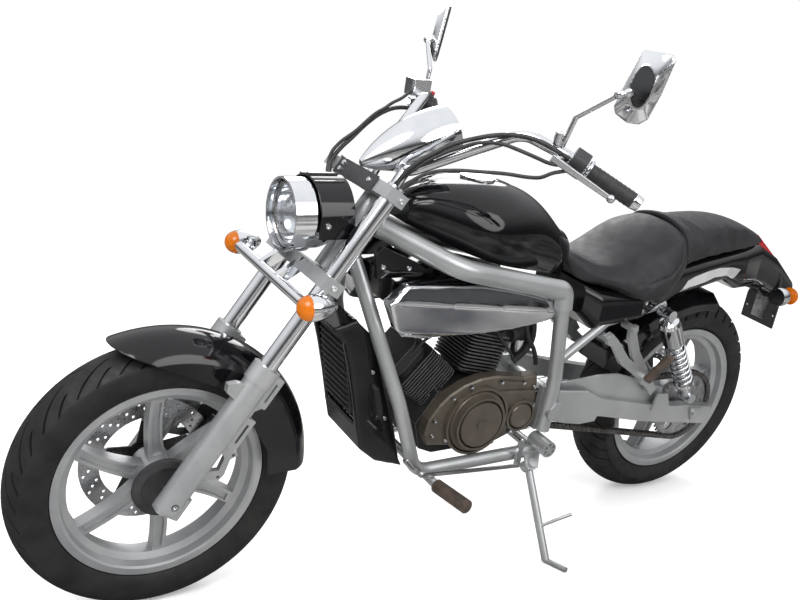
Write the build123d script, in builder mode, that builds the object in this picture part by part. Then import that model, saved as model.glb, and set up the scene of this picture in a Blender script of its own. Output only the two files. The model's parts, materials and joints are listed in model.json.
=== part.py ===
"""Cruiser motorcycle: a V-twin in a fat-tube cradle frame, parked on its side stand.

Everything is modelled upright: +X is the rider's left, +Y the rear, +Z up, and the
origin lies on the ground half-way between the axles. Wheels, fork and crank line have
planes of their own. At the end all pieces lean together on to the side stand.
Lengths are in millimetres, angles in degrees.
"""
import os
from math import atan2, cos, degrees, radians, sin, tan

from build123d import *

os.makedirs("parts", exist_ok=True)

# ---------------------------------------------------------------- driving dimensions
WHEELBASE = 1555
LEAN = 11  # towards the side stand, on the left
RAKE = 32.8
FORK_OFFSET = 45  # fork legs ahead of the steering stem
FORK_SPREAD = 110  # each leg from the middle

RIM_FLANGE_R = 229  # 17 inch rims
CROWN_R = 75  # of both tyres, seen in section
FRONT_TYRE_R, FRONT_TYRE_W, FRONT_RIM_W = 312.5, 117, 90
REAR_TYRE_R, REAR_TYRE_W, REAR_RIM_W = 318.5, 150, 116

AXLE_R = 8.5
PIN_GAP = 0.05  # running clearance of axles and pins
BODY_GAP = 0.3  # between pieces that only just miss each other

FRAME_TUBE_R = 24.5
REAR_TUBE_R = 18.5
DOWN_TUBE_R = 17

FRONT_AXLE = Vector(0, -WHEELBASE / 2, FRONT_TYRE_R)
REAR_AXLE = Vector(0, WHEELBASE / 2, REAR_TYRE_R)

# A wheel's plane: x to the rear, y up, z along the axle to the left.
FRONT_HUB = Plane(FRONT_AXLE, x_dir=(0, 1, 0), z_dir=(1, 0, 0))
REAR_HUB = Plane(REAR_AXLE, x_dir=(0, 1, 0), z_dir=(1, 0, 0))
# The fork's plane: x to the left, y to the rear, z up along the legs from the axle.
FORK = Plane(FRONT_AXLE, x_dir=(1, 0, 0), z_dir=(0, sin(radians(RAKE)), cos(radians(RAKE))))
BIKE = Plane.XY

pieces = []


def keep(builder, node, plane=BIKE):
    """Seat a finished piece by its plane and list it under its node's name."""
    seated = plane.location * builder.part
    seated.label = node
    pieces.append(seated)


def across(x):
    """Sketch plane at x: its own x runs to the rear and its own y up."""
    return Plane.YZ.offset(x)


def along(y):
    """Sketch plane at y: its own x runs to the left and its own y up."""
    return Plane.XZ.offset(-y)


def bar(start, end, radius):
    """A round bar between two points."""
    axis = Vector(end) - Vector(start)
    with BuildPart() as piece:
        with BuildSketch(Plane(Vector(start), z_dir=axis.normalized())):
            Circle(radius)
        extrude(amount=axis.length)
    return piece.part


def tube_run(points, bends, radius):
    """A bent tube along straight runs that tangent arcs join."""
    with BuildPart() as piece:
        with BuildLine() as run:
            FilletPolyline(*points, radius=bends)
        with BuildSketch(Plane(run.line @ 0, z_dir=run.line % 0)):
            Circle(radius)
        sweep(path=run.line)
    return piece.part


# ---------------------------------------------------------------- wheels
BEAD_R = RIM_FLANGE_R - 12
FLANGE_T = 7


def tyre(radius, width, rim_width):
    """Tyre in a wheel's plane: round crown, bulging walls, beads between the flanges."""
    rim = rim_width / 2 - FLANGE_T - BODY_GAP
    wall = width / 2
    shoulder = wall - 8
    shoulder_r = radius - CROWN_R + (CROWN_R**2 - shoulder**2) ** 0.5
    bead, flange = BEAD_R + BODY_GAP, RIM_FLANGE_R + BODY_GAP
    with BuildPart() as piece:
        with BuildSketch(Plane.XZ):
            with BuildLine():
                Polyline((flange, rim), (bead, rim), (bead, -rim), (flange, -rim))
                ThreePointArc((flange, -rim), (flange + 36, -wall), (shoulder_r, -shoulder))
                ThreePointArc((shoulder_r, -shoulder), (radius, 0), (shoulder_r, shoulder))
                ThreePointArc((shoulder_r, shoulder), (flange + 36, wall), (flange, rim))
            make_face()
        revolve(axis=Axis.Z)
    return piece


SPOKE_COUNT = 6
SPOKE_T = 34
SPOKE_CHANNEL = 7


def spoke_outline(start, end, root, middle, tip):
    """Swept outline of a spoke: each place along it is (upper edge, lower edge)."""
    waist = (start + end) / 2 + 4
    with BuildSketch() as outline:
        with BuildLine():
            ThreePointArc((start, root[0]), (waist, middle[0]), (end, tip[0]))
            Line((end, tip[0]), (end, tip[1]))
            ThreePointArc((end, tip[1]), (waist, middle[1]), (start, root[1]))
            Line((start, root[1]), (start, root[0]))
        make_face()
    return outline.sketch


def cast_wheel(rim_width, hub_r, hub_width, bore_r, phase):
    """Rim, hub and six swept spokes with a channel down each face, cast in one."""
    half, well = rim_width / 2, rim_width / 2 - 24
    spoke = spoke_outline(hub_r - 8, BEAD_R - 20, (19, -19), (21, -9), (13, -15))
    channel = spoke_outline(hub_r + 10, BEAD_R - 34, (11, -11), (14, -3), (7, -9))
    with BuildPart() as piece:
        with BuildSketch(Plane.XZ):
            with BuildLine():
                Polyline(
                    (RIM_FLANGE_R, half), (RIM_FLANGE_R, half - FLANGE_T), (BEAD_R, half - FLANGE_T),
                    (BEAD_R - 4, well), (BEAD_R - 16, well - 6), (BEAD_R - 16, 6 - well), (BEAD_R - 4, -well),
                    (BEAD_R, FLANGE_T - half), (RIM_FLANGE_R, FLANGE_T - half), (RIM_FLANGE_R, -half),
                    (BEAD_R - 3, -half), (BEAD_R - 8, 3 - half), (BEAD_R - 12, -well - 4), (BEAD_R - 26, -well + 4),
                    (BEAD_R - 26, well - 4), (BEAD_R - 12, well + 4), (BEAD_R - 8, half - 3), (BEAD_R - 3, half),
                    close=True,
                )
            make_face()
        revolve(axis=Axis.Z)
        with BuildSketch(Plane.XY.offset(-hub_width / 2)):
            Circle(hub_r)
        extrude(amount=hub_width)
        with BuildSketch(Plane.XY.offset(-SPOKE_T / 2)):
            with PolarLocations(0, SPOKE_COUNT, start_angle=phase):
                add(spoke)
        extrude(amount=SPOKE_T)
        for face in (SPOKE_T / 2 - SPOKE_CHANNEL, -SPOKE_T / 2):
            with BuildSketch(Plane.XY.offset(face)):
                with PolarLocations(0, SPOKE_COUNT, start_angle=phase):
                    add(channel)
            extrude(amount=SPOKE_CHANNEL, mode=Mode.SUBTRACT)
        with BuildSketch(Plane.XY.offset(-hub_width / 2)):
            Circle(bore_r)
        extrude(amount=hub_width, mode=Mode.SUBTRACT)
    return piece


keep(tyre(FRONT_TYRE_R, FRONT_TYRE_W, FRONT_RIM_W), "front_tyre", FRONT_HUB)
keep(tyre(REAR_TYRE_R, REAR_TYRE_W, REAR_RIM_W), "rear_tyre", REAR_HUB)
keep(cast_wheel(FRONT_RIM_W, 46, 90, AXLE_R + PIN_GAP, 33), "front_wheel", FRONT_HUB)
keep(cast_wheel(REAR_RIM_W, 60, 90, AXLE_R + PIN_GAP, 15), "rear_wheel", REAR_HUB)

DISC_T = 4
FRONT_DISC_X, REAR_DISC_X = -66, -62
DRILL_R = 3.5
DRILL_COLUMNS = 20


def brake_disc(outer_r, inner_r, x, hub_face):
    """Brake disc in a wheel's plane: drilled ring, five-armed carrier and its boss."""
    with BuildSketch() as arm:
        with BuildLine():
            Polyline((40, 26), (inner_r + 4, 12), (inner_r + 4, -12), (40, -26), close=True)
        make_face()
    with BuildPart() as piece:
        with BuildSketch(Plane.XY.offset(x - DISC_T / 2)):
            Circle(outer_r)
            # three holes in each column, turned a little further at each radius
            for i, share in enumerate((0.22, 0.5, 0.78)):
                with PolarLocations(inner_r + (outer_r - inner_r) * share, DRILL_COLUMNS, start_angle=5 * i):
                    Circle(DRILL_R, mode=Mode.SUBTRACT)
            Circle(inner_r, mode=Mode.SUBTRACT)
            Circle(52)
            with PolarLocations(0, 5, start_angle=20):
                add(arm.sketch)
            Circle(AXLE_R + PIN_GAP, mode=Mode.SUBTRACT)
        extrude(amount=DISC_T)
        # buttons that hold the ring on the carrier
        with BuildSketch(Plane.XY.offset(x - DISC_T / 2 - 2)):
            with PolarLocations(inner_r - 4, 5, start_angle=20):
                Circle(8)
        extrude(amount=DISC_T + 4)
        with BuildSketch(Plane.XY.offset(x)):
            Circle(40)
            Circle(AXLE_R + PIN_GAP, mode=Mode.SUBTRACT)
        extrude(amount=hub_face - x)
    return piece


keep(brake_disc(150, 106, FRONT_DISC_X, -45), "front_brake_disc", FRONT_HUB)
keep(brake_disc(120, 82, REAR_DISC_X, -45), "rear_brake_disc", REAR_HUB)

with BuildPart() as hub_cover:
    with BuildSketch(Plane.XZ):
        with BuildLine():
            Polyline((AXLE_R + PIN_GAP, 45), (62, 45), (68, 52), (66, 62), (52, 66), (46, 62), (AXLE_R + PIN_GAP, 62),
                     close=True)
        make_face()
    revolve(axis=Axis.Z)
keep(hub_cover, "front_hub_cover", FRONT_HUB)

SPROCKET_X = 92
SPROCKET_TEETH = 42
CHAIN_PITCH = 15.875
SPROCKET_R = CHAIN_PITCH / 2 / sin(radians(180 / SPROCKET_TEETH))

with BuildSketch() as tooth:
    with BuildLine():
        Polyline((SPROCKET_R - 6, 4.5), (SPROCKET_R + 5, 1.2), (SPROCKET_R + 5, -1.2),
                 (SPROCKET_R - 6, -4.5), close=True)
    make_face()
with BuildPart() as sprocket:
    with BuildSketch(Plane.XY.offset(SPROCKET_X - 3)):
        Circle(SPROCKET_R - 4)
        with PolarLocations(0, SPROCKET_TEETH):
            add(tooth.sketch)
        with PolarLocations(72, 6):
            Circle(15, mode=Mode.SUBTRACT)
        Circle(AXLE_R + PIN_GAP, mode=Mode.SUBTRACT)
    extrude(amount=6)
    with BuildSketch(Plane.XY.offset(45)):
        Circle(52)
        Circle(AXLE_R + PIN_GAP, mode=Mode.SUBTRACT)
    extrude(amount=SPROCKET_X - 3 - 45)
keep(sprocket, "rear_sprocket", REAR_HUB)

# ---------------------------------------------------------------- fork and controls
LEG_R = 28.5
TUBE_R = 20.5
LEG_TOP = 346
CLAMPS = {"lower": (545, 30), "top": (771, 28)}  # bottom face and thickness along the fork
FORK_TOP = 806
STEM_R = 15
HEAD_R = 28
FRONT_AXLE_END = FORK_SPREAD + 24

with BuildPart() as front_axle:
    add(bar((-FRONT_AXLE_END, 0, 0), (FRONT_AXLE_END, 0, 0), AXLE_R))
keep(front_axle, "front_axle", Plane(FRONT_AXLE))

# pads behind each leg with a slot down the middle: height of the bottom, length
LEG_PADS = [(264, 74), (158, 76)]
LUG_HOLES = [(66, 142), (66, 84)]  # caliper bolts: distance behind the leg, height

with BuildPart() as fork_lowers:
    with BuildSketch(Plane.XY.offset(-20)):
        with Locations((FORK_SPREAD, 0)):
            Circle(LEG_R)
    extrude(amount=LEG_TOP + 20)
    # collar at the top, where the seal sits
    with BuildSketch(Plane.XY.offset(LEG_TOP - 40)):
        with Locations((FORK_SPREAD, 0)):
            Circle(LEG_R + 3)
    extrude(amount=40)
    # web behind the leg
    with BuildSketch(Plane.YZ.offset(FORK_SPREAD - 8)):
        with BuildLine():
            Polyline((0, 340), (40, 335), (44, 262), (34, 250), (40, 165), (0, 150), close=True)
        make_face()
    extrude(amount=16)
    with BuildSketch(Plane.YZ.offset(FORK_SPREAD - 13)):
        for bottom, length in LEG_PADS:
            with Locations((38, bottom + length / 2)):
                RectangleRounded(24, length, 4)
                SlotCenterToCenter(length - 34, 6, rotation=90, mode=Mode.SUBTRACT)
    extrude(amount=26)
    # triangular web with the two caliper lugs
    with BuildSketch(Plane.YZ.offset(FORK_SPREAD - 20)):
        with BuildLine():
            Polyline((0, 162), (58, 156), (76, 146), (66, 130), (76, 94), (72, 74), (58, 72), (0, 58), close=True)
        make_face()
        with BuildLine():
            Polyline((32, 140), (52, 128), (58, 98), (32, 84), close=True)
        make_face(mode=Mode.SUBTRACT)
        with Locations(*LUG_HOLES):
            Circle(4, mode=Mode.SUBTRACT)
    extrude(amount=14)
    # forward lug
    with BuildSketch(Plane.YZ.offset(FORK_SPREAD - 4)):
        with BuildLine():
            Polyline((0, 300), (-44, 288), (-60, 276), (-52, 260), (0, 250), close=True)
        make_face()
    extrude(amount=16)
    # the foot that clamps the axle
    with BuildSketch(Plane.XY.offset(-28)):
        with Locations((FORK_SPREAD, 4)):
            RectangleRounded(44, 58, 12)
    extrude(amount=52)
    mirror(about=Plane.YZ)
    with BuildSketch(Plane.YZ.offset(-FRONT_AXLE_END - 10)):
        Circle(AXLE_R)
    extrude(amount=2 * FRONT_AXLE_END + 20, mode=Mode.SUBTRACT)
keep(fork_lowers, "fork_lowers", FORK)

with BuildPart() as fork_tubes:
    with BuildSketch(Plane.XY.offset(LEG_TOP)):
        with Locations((FORK_SPREAD, 0), (-FORK_SPREAD, 0)):
            Circle(TUBE_R)
    extrude(amount=FORK_TOP - LEG_TOP)
keep(fork_tubes, "fork_tubes", FORK)

with BuildPart() as triple_clamps:
    for bottom, thickness in CLAMPS.values():
        with BuildSketch(Plane.XY.offset(bottom)):
            with BuildLine():
                Polyline((-FORK_SPREAD - 34, -31), (FORK_SPREAD + 34, -31), (FORK_SPREAD + 36, 18),
                         (FORK_SPREAD - 34, 31), (34, FORK_OFFSET + 34), (-34, FORK_OFFSET + 34),
                         (34 - FORK_SPREAD, 31), (-FORK_SPREAD - 36, 18), close=True)
            make_face()
            with Locations((FORK_SPREAD, 0), (-FORK_SPREAD, 0)):
                Circle(TUBE_R, mode=Mode.SUBTRACT)
        extrude(amount=thickness)
    with BuildSketch(Plane.XY.offset(CLAMPS["lower"][0])):
        with Locations((0, FORK_OFFSET)):
            Circle(STEM_R)
    extrude(amount=CLAMPS["top"][0] + CLAMPS["top"][1] + 8 - CLAMPS["lower"][0])
keep(triple_clamps, "triple_clamps", FORK)

INDICATOR_X = 200
INDICATOR_S, INDICATOR_D = 503, 64  # along the legs and ahead of them
INDICATOR_BAR_R = 12


def fork_point(x, ahead, up):
    """A point given by the fork's own measures, in the upright motorcycle's frame."""
    return FORK.from_local_coords(Vector(x, -ahead, up))


INDICATOR_AT = fork_point(INDICATOR_X, INDICATOR_D, INDICATOR_S)

with BuildPart() as indicator_bar:
    with BuildSketch(Plane.YZ.offset(-INDICATOR_X + 28)):
        with Locations((-INDICATOR_D, INDICATOR_S)):
            Circle(INDICATOR_BAR_R)
    extrude(amount=2 * INDICATOR_X - 56)
    # two ears up to the lower clamp
    for x in (-50, 34):
        with BuildSketch(Plane.YZ.offset(x)):
            with BuildLine():
                Polyline((-31, 573), (-31, 547), (-54, 498), (-74, 498), (-74, 512), (-45, 573), close=True)
            make_face()
        extrude(amount=16)

BULLET_R = 27


def bullet_shell(nose, tail, depth):
    """Half section of a bullet lamp's shell about its own axis, open end at the nose."""
    with BuildSketch() as section:
        with BuildLine():
            Polyline((0, nose), (BULLET_R, nose))
            ThreePointArc((BULLET_R, nose), (BULLET_R - 3, nose + depth * 0.55), (6, tail))
            Polyline((6, tail), (0, tail), (0, nose))
        make_face()
    return section.sketch


with BuildPart() as indicator_shells:
    with BuildSketch(Plane.XY):
        add(bullet_shell(0, 62, 62))
    revolve(axis=Axis.Y)
    with BuildSketch(Plane.YZ.offset(-INDICATOR_BAR_R * 2 - 18)):
        with Locations((22, 0)):
            Circle(8)
    extrude(amount=24)
with BuildPart() as indicator_lenses:
    with BuildSketch(Plane.XY):
        with BuildLine():
            Line((0, 0), (BULLET_R - 1, 0))
            ThreePointArc((BULLET_R - 1, 0), (BULLET_R - 8, -16), (3, -24))
            Polyline((3, -24), (0, -24), (0, 0))
        make_face()
    revolve(axis=Axis.Y)


def mirrored_pair(builder, spot):
    """A piece at a spot on the left and its mirror image on the right."""
    with BuildPart() as pair:
        add(Location(spot) * builder.part)
        mirror(about=Plane.YZ)
    return pair


with BuildPart() as indicator_bar_dressed:
    add(FORK.location * indicator_bar.part)
    add(mirrored_pair(indicator_shells, INDICATOR_AT))
keep(indicator_bar_dressed, "indicator_bar")
keep(mirrored_pair(indicator_lenses, INDICATOR_AT), "front_indicator_lenses")

LAMP_R = 79
LAMP_AT = Vector(0, -538, 900)  # middle of the lens
LAMP = Plane(LAMP_AT, x_dir=(1, 0, 0), z_dir=(0, -1, 0))
LENS_R = LAMP_R - 9
BUCKET_BACK = -118

with BuildPart() as headlight_shell:
    with BuildSketch(Plane.XZ):
        with BuildLine():
            # bulb shield, then the reflector out to the lens seat
            Polyline((0, -30), (9, -30), (9, -60), (16, -60))
            ThreePointArc((16, -60), (50, -44), (LENS_R - 6, -12))
            Polyline((LENS_R - 6, -12), (LENS_R + BODY_GAP, -12), (LAMP_R - 5, 8), (LAMP_R, 8), (LAMP_R, -40),
                     (LAMP_R - 6, -44), (LAMP_R - 6, -66))
            ThreePointArc((LAMP_R - 6, -66), (LAMP_R - 17, -96), (34, BUCKET_BACK))
            Polyline((34, BUCKET_BACK), (0, BUCKET_BACK), (0, -30))
        make_face()
    revolve(axis=Axis.Z)
keep(headlight_shell, "headlight_shell", LAMP)

with BuildPart() as headlight_lens:
    with BuildSketch(Plane.XZ):
        with BuildLine():
            Polyline((LENS_R - 5, -8), (LENS_R - 5, -12), (LENS_R, -12), (LENS_R, -4))
            ThreePointArc((LENS_R, -4), (40, 6), (3, 9))
            Polyline((3, 9), (0, 9), (0, 6), (3, 6))
            ThreePointArc((3, 6), (40, 3), (LENS_R - 5, -8))
        make_face()
    revolve(axis=Axis.Z)
keep(headlight_lens, "headlight_lens", LAMP)

COWL_FRONT, COWL_LENGTH = -44, 78
COWL_REACH = LAMP_R + 8
COWL_T = 5
with BuildPart() as headlight_cowl:
    with BuildSketch(Plane.XY.offset(COWL_FRONT)):
        with BuildLine():
            Polyline((COWL_REACH, -30), (COWL_REACH, 18))
            ThreePointArc((COWL_REACH, 18), (0, LAMP_R + 7), (-COWL_REACH, 18))
            Polyline((-COWL_REACH, 18), (-COWL_REACH, -30), (COWL_T - COWL_REACH, -30), (COWL_T - COWL_REACH, 16))
            ThreePointArc((COWL_T - COWL_REACH, 16), (0, LAMP_R + 2), (COWL_REACH - COWL_T, 16))
            Polyline((COWL_REACH - COWL_T, 16), (COWL_REACH - COWL_T, -30), (COWL_REACH, -30))
        make_face()
    extrude(amount=-COWL_LENGTH)
    # three ribs along its top
    for x, top in ((-34, LAMP_R), (0, LAMP_R + 8), (34, LAMP_R)):
        with BuildSketch(Plane.XY.offset(COWL_FRONT)):
            with Locations((x, top)):
                Rectangle(9, 6)
        extrude(amount=-COWL_LENGTH + 10)
    # bosses on which the bucket is bolted
    with BuildSketch(Plane.YZ.offset(LAMP_R - 8)):
        with Locations((0, COWL_FRONT - 16)):
            Circle(9)
    extrude(amount=12)
    mirror(about=Plane.YZ)
    add(headlight_shell, mode=Mode.SUBTRACT)
# arms that carry the cowl on the fork tubes
COWL_RING = (668, 22)  # bottom and height along the fork
with BuildPart() as cowl_rings:
    with BuildSketch(Plane.XY.offset(COWL_RING[0])):
        with Locations((FORK_SPREAD, 0)):
            Circle(TUBE_R + 3)
            Circle(TUBE_R, mode=Mode.SUBTRACT)
        # only the inner half of the ring, which carries the arm
        with Locations((FORK_SPREAD + 18, 0)):
            Rectangle(52, 60, mode=Mode.SUBTRACT)
        with Locations((FORK_SPREAD - TUBE_R - 6, -24)):
            Rectangle(10, 50)
        with Locations((FORK_SPREAD, 0)):
            Circle(TUBE_R, mode=Mode.SUBTRACT)
    extrude(amount=COWL_RING[1])
    mirror(about=Plane.YZ)
with BuildPart() as cowl_mounted:
    add(LAMP.location * headlight_cowl.part)
    add(FORK.location * cowl_rings.part)
keep(cowl_mounted, "headlight_cowl")

POD = Plane((0, -372, 1012), x_dir=(1, 0, 0), z_dir=(0, cos(radians(20)), sin(radians(20))))
with BuildPart() as instrument_pod:
    with BuildSketch(Plane.XZ):
        with BuildLine():
            Polyline((8, 0), (0, 0), (0, 225), (60, 225))
            ThreePointArc((60, 225), (54, 110), (8, 0))
        make_face()
    revolve(axis=Axis.Z)

BAR_R = 12.7
# left half of the handlebar: x, y, z of each corner
BAR_POINTS = [(0, -292, 1010), (66, -290, 1012), (197, -108, 1132), (282, -51, 1105), (394, 63, 1036)]
BAR_BENDS = [40, 62, 70]
GRIP_R = 17
GRIP_START, GRIP_END = 312, 386
RISER_X = 52


def on_bar(x):
    """Point of the handlebar's outer run at x, on the left."""
    elbow, tip = Vector(BAR_POINTS[-2]), Vector(BAR_POINTS[-1])
    return elbow + (tip - elbow) * ((x - elbow.X) / (tip.X - elbow.X))


GRIP_AXIS = (on_bar(GRIP_END) - on_bar(GRIP_START)).normalized()
CLAMP_TOP = CLAMPS["top"][0] + CLAMPS["top"][1]

with BuildPart() as handlebar:
    add(tube_run(BAR_POINTS, BAR_BENDS, BAR_R))
    add(bar(fork_point(RISER_X, -34, CLAMP_TOP + 0.1), (RISER_X, -290, 1012), 13))
    mirror(about=Plane.YZ)
    add(FORK.location * triple_clamps.part, mode=Mode.SUBTRACT)
keep(handlebar, "handlebar")
with BuildPart() as pod_on_bar:
    add(POD.location * instrument_pod.part)
    add(handlebar, mode=Mode.SUBTRACT)
keep(pod_on_bar, "instrument_pod")

with BuildPart() as grips:
    with BuildSketch(Plane(on_bar(GRIP_START), z_dir=GRIP_AXIS)):
        Circle(GRIP_R)
    extrude(amount=(on_bar(GRIP_END) - on_bar(GRIP_START)).length)
    # flange at the inner end
    with BuildSketch(Plane(on_bar(GRIP_START), z_dir=GRIP_AXIS)):
        Circle(GRIP_R + 4)
    extrude(amount=4)
    mirror(about=Plane.YZ)
    add(handlebar, mode=Mode.SUBTRACT)
keep(grips, "grips")

# Levers lie ahead of the grips. Housings: start x and length of each along the bar.
LEVER_REACH = 48
HOUSING_X, HOUSING_LENGTH = 287, 34
PERCH_X = 300
with BuildPart() as switchgear:
    housing = Plane(on_bar(HOUSING_X), x_dir=(0, -1, 0), z_dir=GRIP_AXIS)
    with BuildSketch(housing):
        RectangleRounded(46, 50, 12)
    extrude(amount=HOUSING_LENGTH)
    fillet(switchgear.edges().filter_by(GeomType.CIRCLE), 2)
    # switch block on its rear face
    with BuildSketch(housing.offset(8)):
        with Locations((-25, 4)):
            RectangleRounded(10, 22, 3)
    extrude(amount=16)
    add(handlebar, mode=Mode.SUBTRACT)
    mirror(about=Plane.YZ)
keep(switchgear, "switchgear")

with BuildPart() as levers:
    pivot = on_bar(PERCH_X - 10) + Vector(0, -LEVER_REACH, 0)
    reach = on_bar(GRIP_END - 8) + Vector(0, -LEVER_REACH - 6, 0)
    run = (reach - pivot).normalized()
    with BuildSketch(Plane(pivot - run * 8, x_dir=(0, 0, 1), z_dir=run)):
        RectangleRounded(16, 11, 4)
    with BuildSketch(Plane(reach, x_dir=(0, 0, 1), z_dir=run)):
        RectangleRounded(11, 9, 3)
    loft()
    with Locations(reach + run * 4):
        Sphere(9)
    # perch that carries the lever on the bar
    add(bar(on_bar(PERCH_X - 16) + Vector(0, -8, 0), pivot + Vector(0, 4, 0), 9))
    add(switchgear, mode=Mode.SUBTRACT)
    add(handlebar, mode=Mode.SUBTRACT)
    mirror(about=Plane.YZ)
# brake fluid reservoir, on the right lever's perch
RESERVOIR_AT = on_bar(268) + Vector(0, -20, 24)
with BuildPart() as lever_set:
    add(levers)
    with BuildSketch(Plane(Vector(-RESERVOIR_AT.X, RESERVOIR_AT.Y, RESERVOIR_AT.Z - 16))):
        RectangleRounded(44, 56, 8)
    extrude(amount=40)
    add(handlebar, mode=Mode.SUBTRACT)
    add(switchgear, mode=Mode.SUBTRACT)
keep(lever_set, "levers")

# Mirror heads: the plane of the glass, its own x outwards and y up.
MIRROR_AT = Vector(368, 29, 1267)
MIRROR = Plane(MIRROR_AT, x_dir=(0.78, 0.62, 0), z_dir=Vector(0.78, 0.62, 0).cross(Vector(-0.062, 0.078, 0.995)))
MIRROR_OUTLINE = [(-21, 69), (39, 69), (45, 56), (34, -9), (20, -60), (6, -72), (-18, -73), (-44, -60), (-50, -47),
                  (-40, -7)]
STEM_R_MIRROR = 5.5
with BuildPart() as mirrors:
    with BuildSketch(MIRROR.offset(4)):
        with BuildLine():
            Polyline(*MIRROR_OUTLINE, close=True)
        mirror_face = make_face()
        fillet(mirror_face.vertices(), 5)
    with BuildSketch(MIRROR.offset(22)):
        with Locations((-4, -2)):
            Ellipse(22, 44)
    loft()
    with BuildSketch(MIRROR.offset(4)):
        with BuildLine():
            Polyline(*MIRROR_OUTLINE, close=True)
        mirror_face = make_face()
        fillet(mirror_face.vertices(), 5)
    extrude(amount=-7)
    stem_foot = on_bar(270) + Vector(0, 0, 6)
    for start, end in ((stem_foot, Vector(280, -50, 1186)), (Vector(280, -50, 1186), Vector(356, -22, 1248)),
                       (Vector(352, -24, 1245), Vector(366, 8, 1258))):
        add(bar(start, end, STEM_R_MIRROR))
        with Locations(start):
            Sphere(STEM_R_MIRROR)
    with Locations(Vector(356, -22, 1248)):
        Sphere(10)
    add(bar(on_bar(262) + Vector(0, 0, 4), on_bar(262) + Vector(2, 2, 34), 9))
    add(handlebar, mode=Mode.SUBTRACT)
    mirror(about=Plane.YZ)
    add(lever_set, mode=Mode.SUBTRACT)
    add(switchgear, mode=Mode.SUBTRACT)
keep(mirrors, "mirrors")

# Control cables, each from its lever or switch block to the clamp or the lamp: radius and the corners of its route.
CABLES = [
    (5, [(298, -62, 1104), (284, -86, 1117), (252, -108, 1129), (215, -132, 1131), (172, -165, 1120), (138, -203, 1100),
         (124, -233, 1086), (112, -260, 1066), (101, -286, 1047), (90, -308, 1022), (80, -322, 994), (76, -330, 966)]),
    (4, [(302, -60, 1092), (290, -97, 1089), (262, -122, 1098), (232, -138, 1103), (205, -160, 1109), (180, -178, 1106),
         (160, -198, 1099), (142, -216, 1086), (126, -240, 1072), (106, -278, 1044), (86, -308, 1010), (68, -322, 984),
         (60, -330, 964)]),
    (4, [(304, -58, 1082), (297, -98, 1074), (285, -114, 1060), (262, -130, 1055), (226, -160, 1053), (190, -197, 1046),
         (160, -230, 1041), (130, -265, 1031), (112, -292, 1014), (98, -314, 990), (92, -328, 964)]),
    (4, [(-262, -98, 1136), (-244, -124, 1129), (-222, -156, 1117), (-206, -188, 1110), (-190, -217, 1098),
         (-174, -250, 1088), (-158, -280, 1072), (-148, -312, 1048), (-136, -352, 1028), (-118, -386, 1004),
         (-88, -404, 962), (-58, -408, 930), (-40, -432, 912)]),
    (5, [(-292, -58, 1098), (-262, -98, 1093), (-240, -119, 1092), (-222, -154, 1096), (-200, -194, 1096),
         (-182, -238, 1084), (-160, -285, 1060), (-146, -318, 1036), (-128, -356, 1014), (-104, -392, 988),
         (-76, -402, 944), (-50, -412, 918), (-30, -430, 906)]),
]


def cable_bends(points):
    """Bend radii that use most of the shorter run at each corner."""
    spots = [Vector(*point) for point in points]
    bends = []
    for before, corner, after in zip(spots, spots[1:], spots[2:]):
        first, second = corner - before, after - corner
        half_turn = radians(first.get_angle(second)) / 2
        bends.append(0.45 * min(first.length, second.length) / tan(half_turn))
    print("cable bends", [round(bend) for bend in bends])
    return bends


with BuildPart() as control_cables:
    for radius, points in CABLES:
        add(tube_run(points, cable_bends(points), radius))
    add(handlebar, mode=Mode.SUBTRACT)
    add(switchgear, mode=Mode.SUBTRACT)
    add(lever_set, mode=Mode.SUBTRACT)
    add(pod_on_bar, mode=Mode.SUBTRACT)
    add(FORK.location * triple_clamps.part, mode=Mode.SUBTRACT)
    add(LAMP.location * headlight_shell.part, mode=Mode.SUBTRACT)
    add(cowl_mounted, mode=Mode.SUBTRACT)
keep(control_cables, "control_cables")

FENDER_R = 346
FENDER_T = 3
FENDER_HALF = 77
with BuildPart() as front_fender:
    with BuildSketch(Plane.XZ):
        with BuildLine():
            Line((224, FENDER_HALF), (300, FENDER_HALF))
            ThreePointArc((300, FENDER_HALF), (FENDER_R, 0), (300, -FENDER_HALF))
            Line((300, -FENDER_HALF), (224, -FENDER_HALF))
            Line((224, -FENDER_HALF), (224, FENDER_T - FENDER_HALF))
            Line((224, FENDER_T - FENDER_HALF), (300, FENDER_T - FENDER_HALF))
            ThreePointArc((300, FENDER_T - FENDER_HALF), (FENDER_R - FENDER_T, 0), (300, FENDER_HALF - FENDER_T))
            Line((300, FENDER_HALF - FENDER_T), (224, FENDER_HALF - FENDER_T))
            Line((224, FENDER_HALF - FENDER_T), (224, FENDER_HALF))
        make_face()
    revolve(axis=Axis.Z, revolution_arc=109.5)
    # the side's lower edge rises to a point at the front
    with BuildSketch(Plane.XY.offset(-FENDER_HALF - 5)):
        with BuildLine():
            Polyline((-400, 100), (-170, 345), (-40, 300), (40, 262), (120, 225), (180, 140), (225, 60), (235, -50),
                     (0, -50), (-400, -50), close=True)
        make_face()
    extrude(amount=2 * FENDER_HALF + 10, mode=Mode.SUBTRACT)
keep(front_fender, "front_fender", FRONT_HUB)

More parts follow.
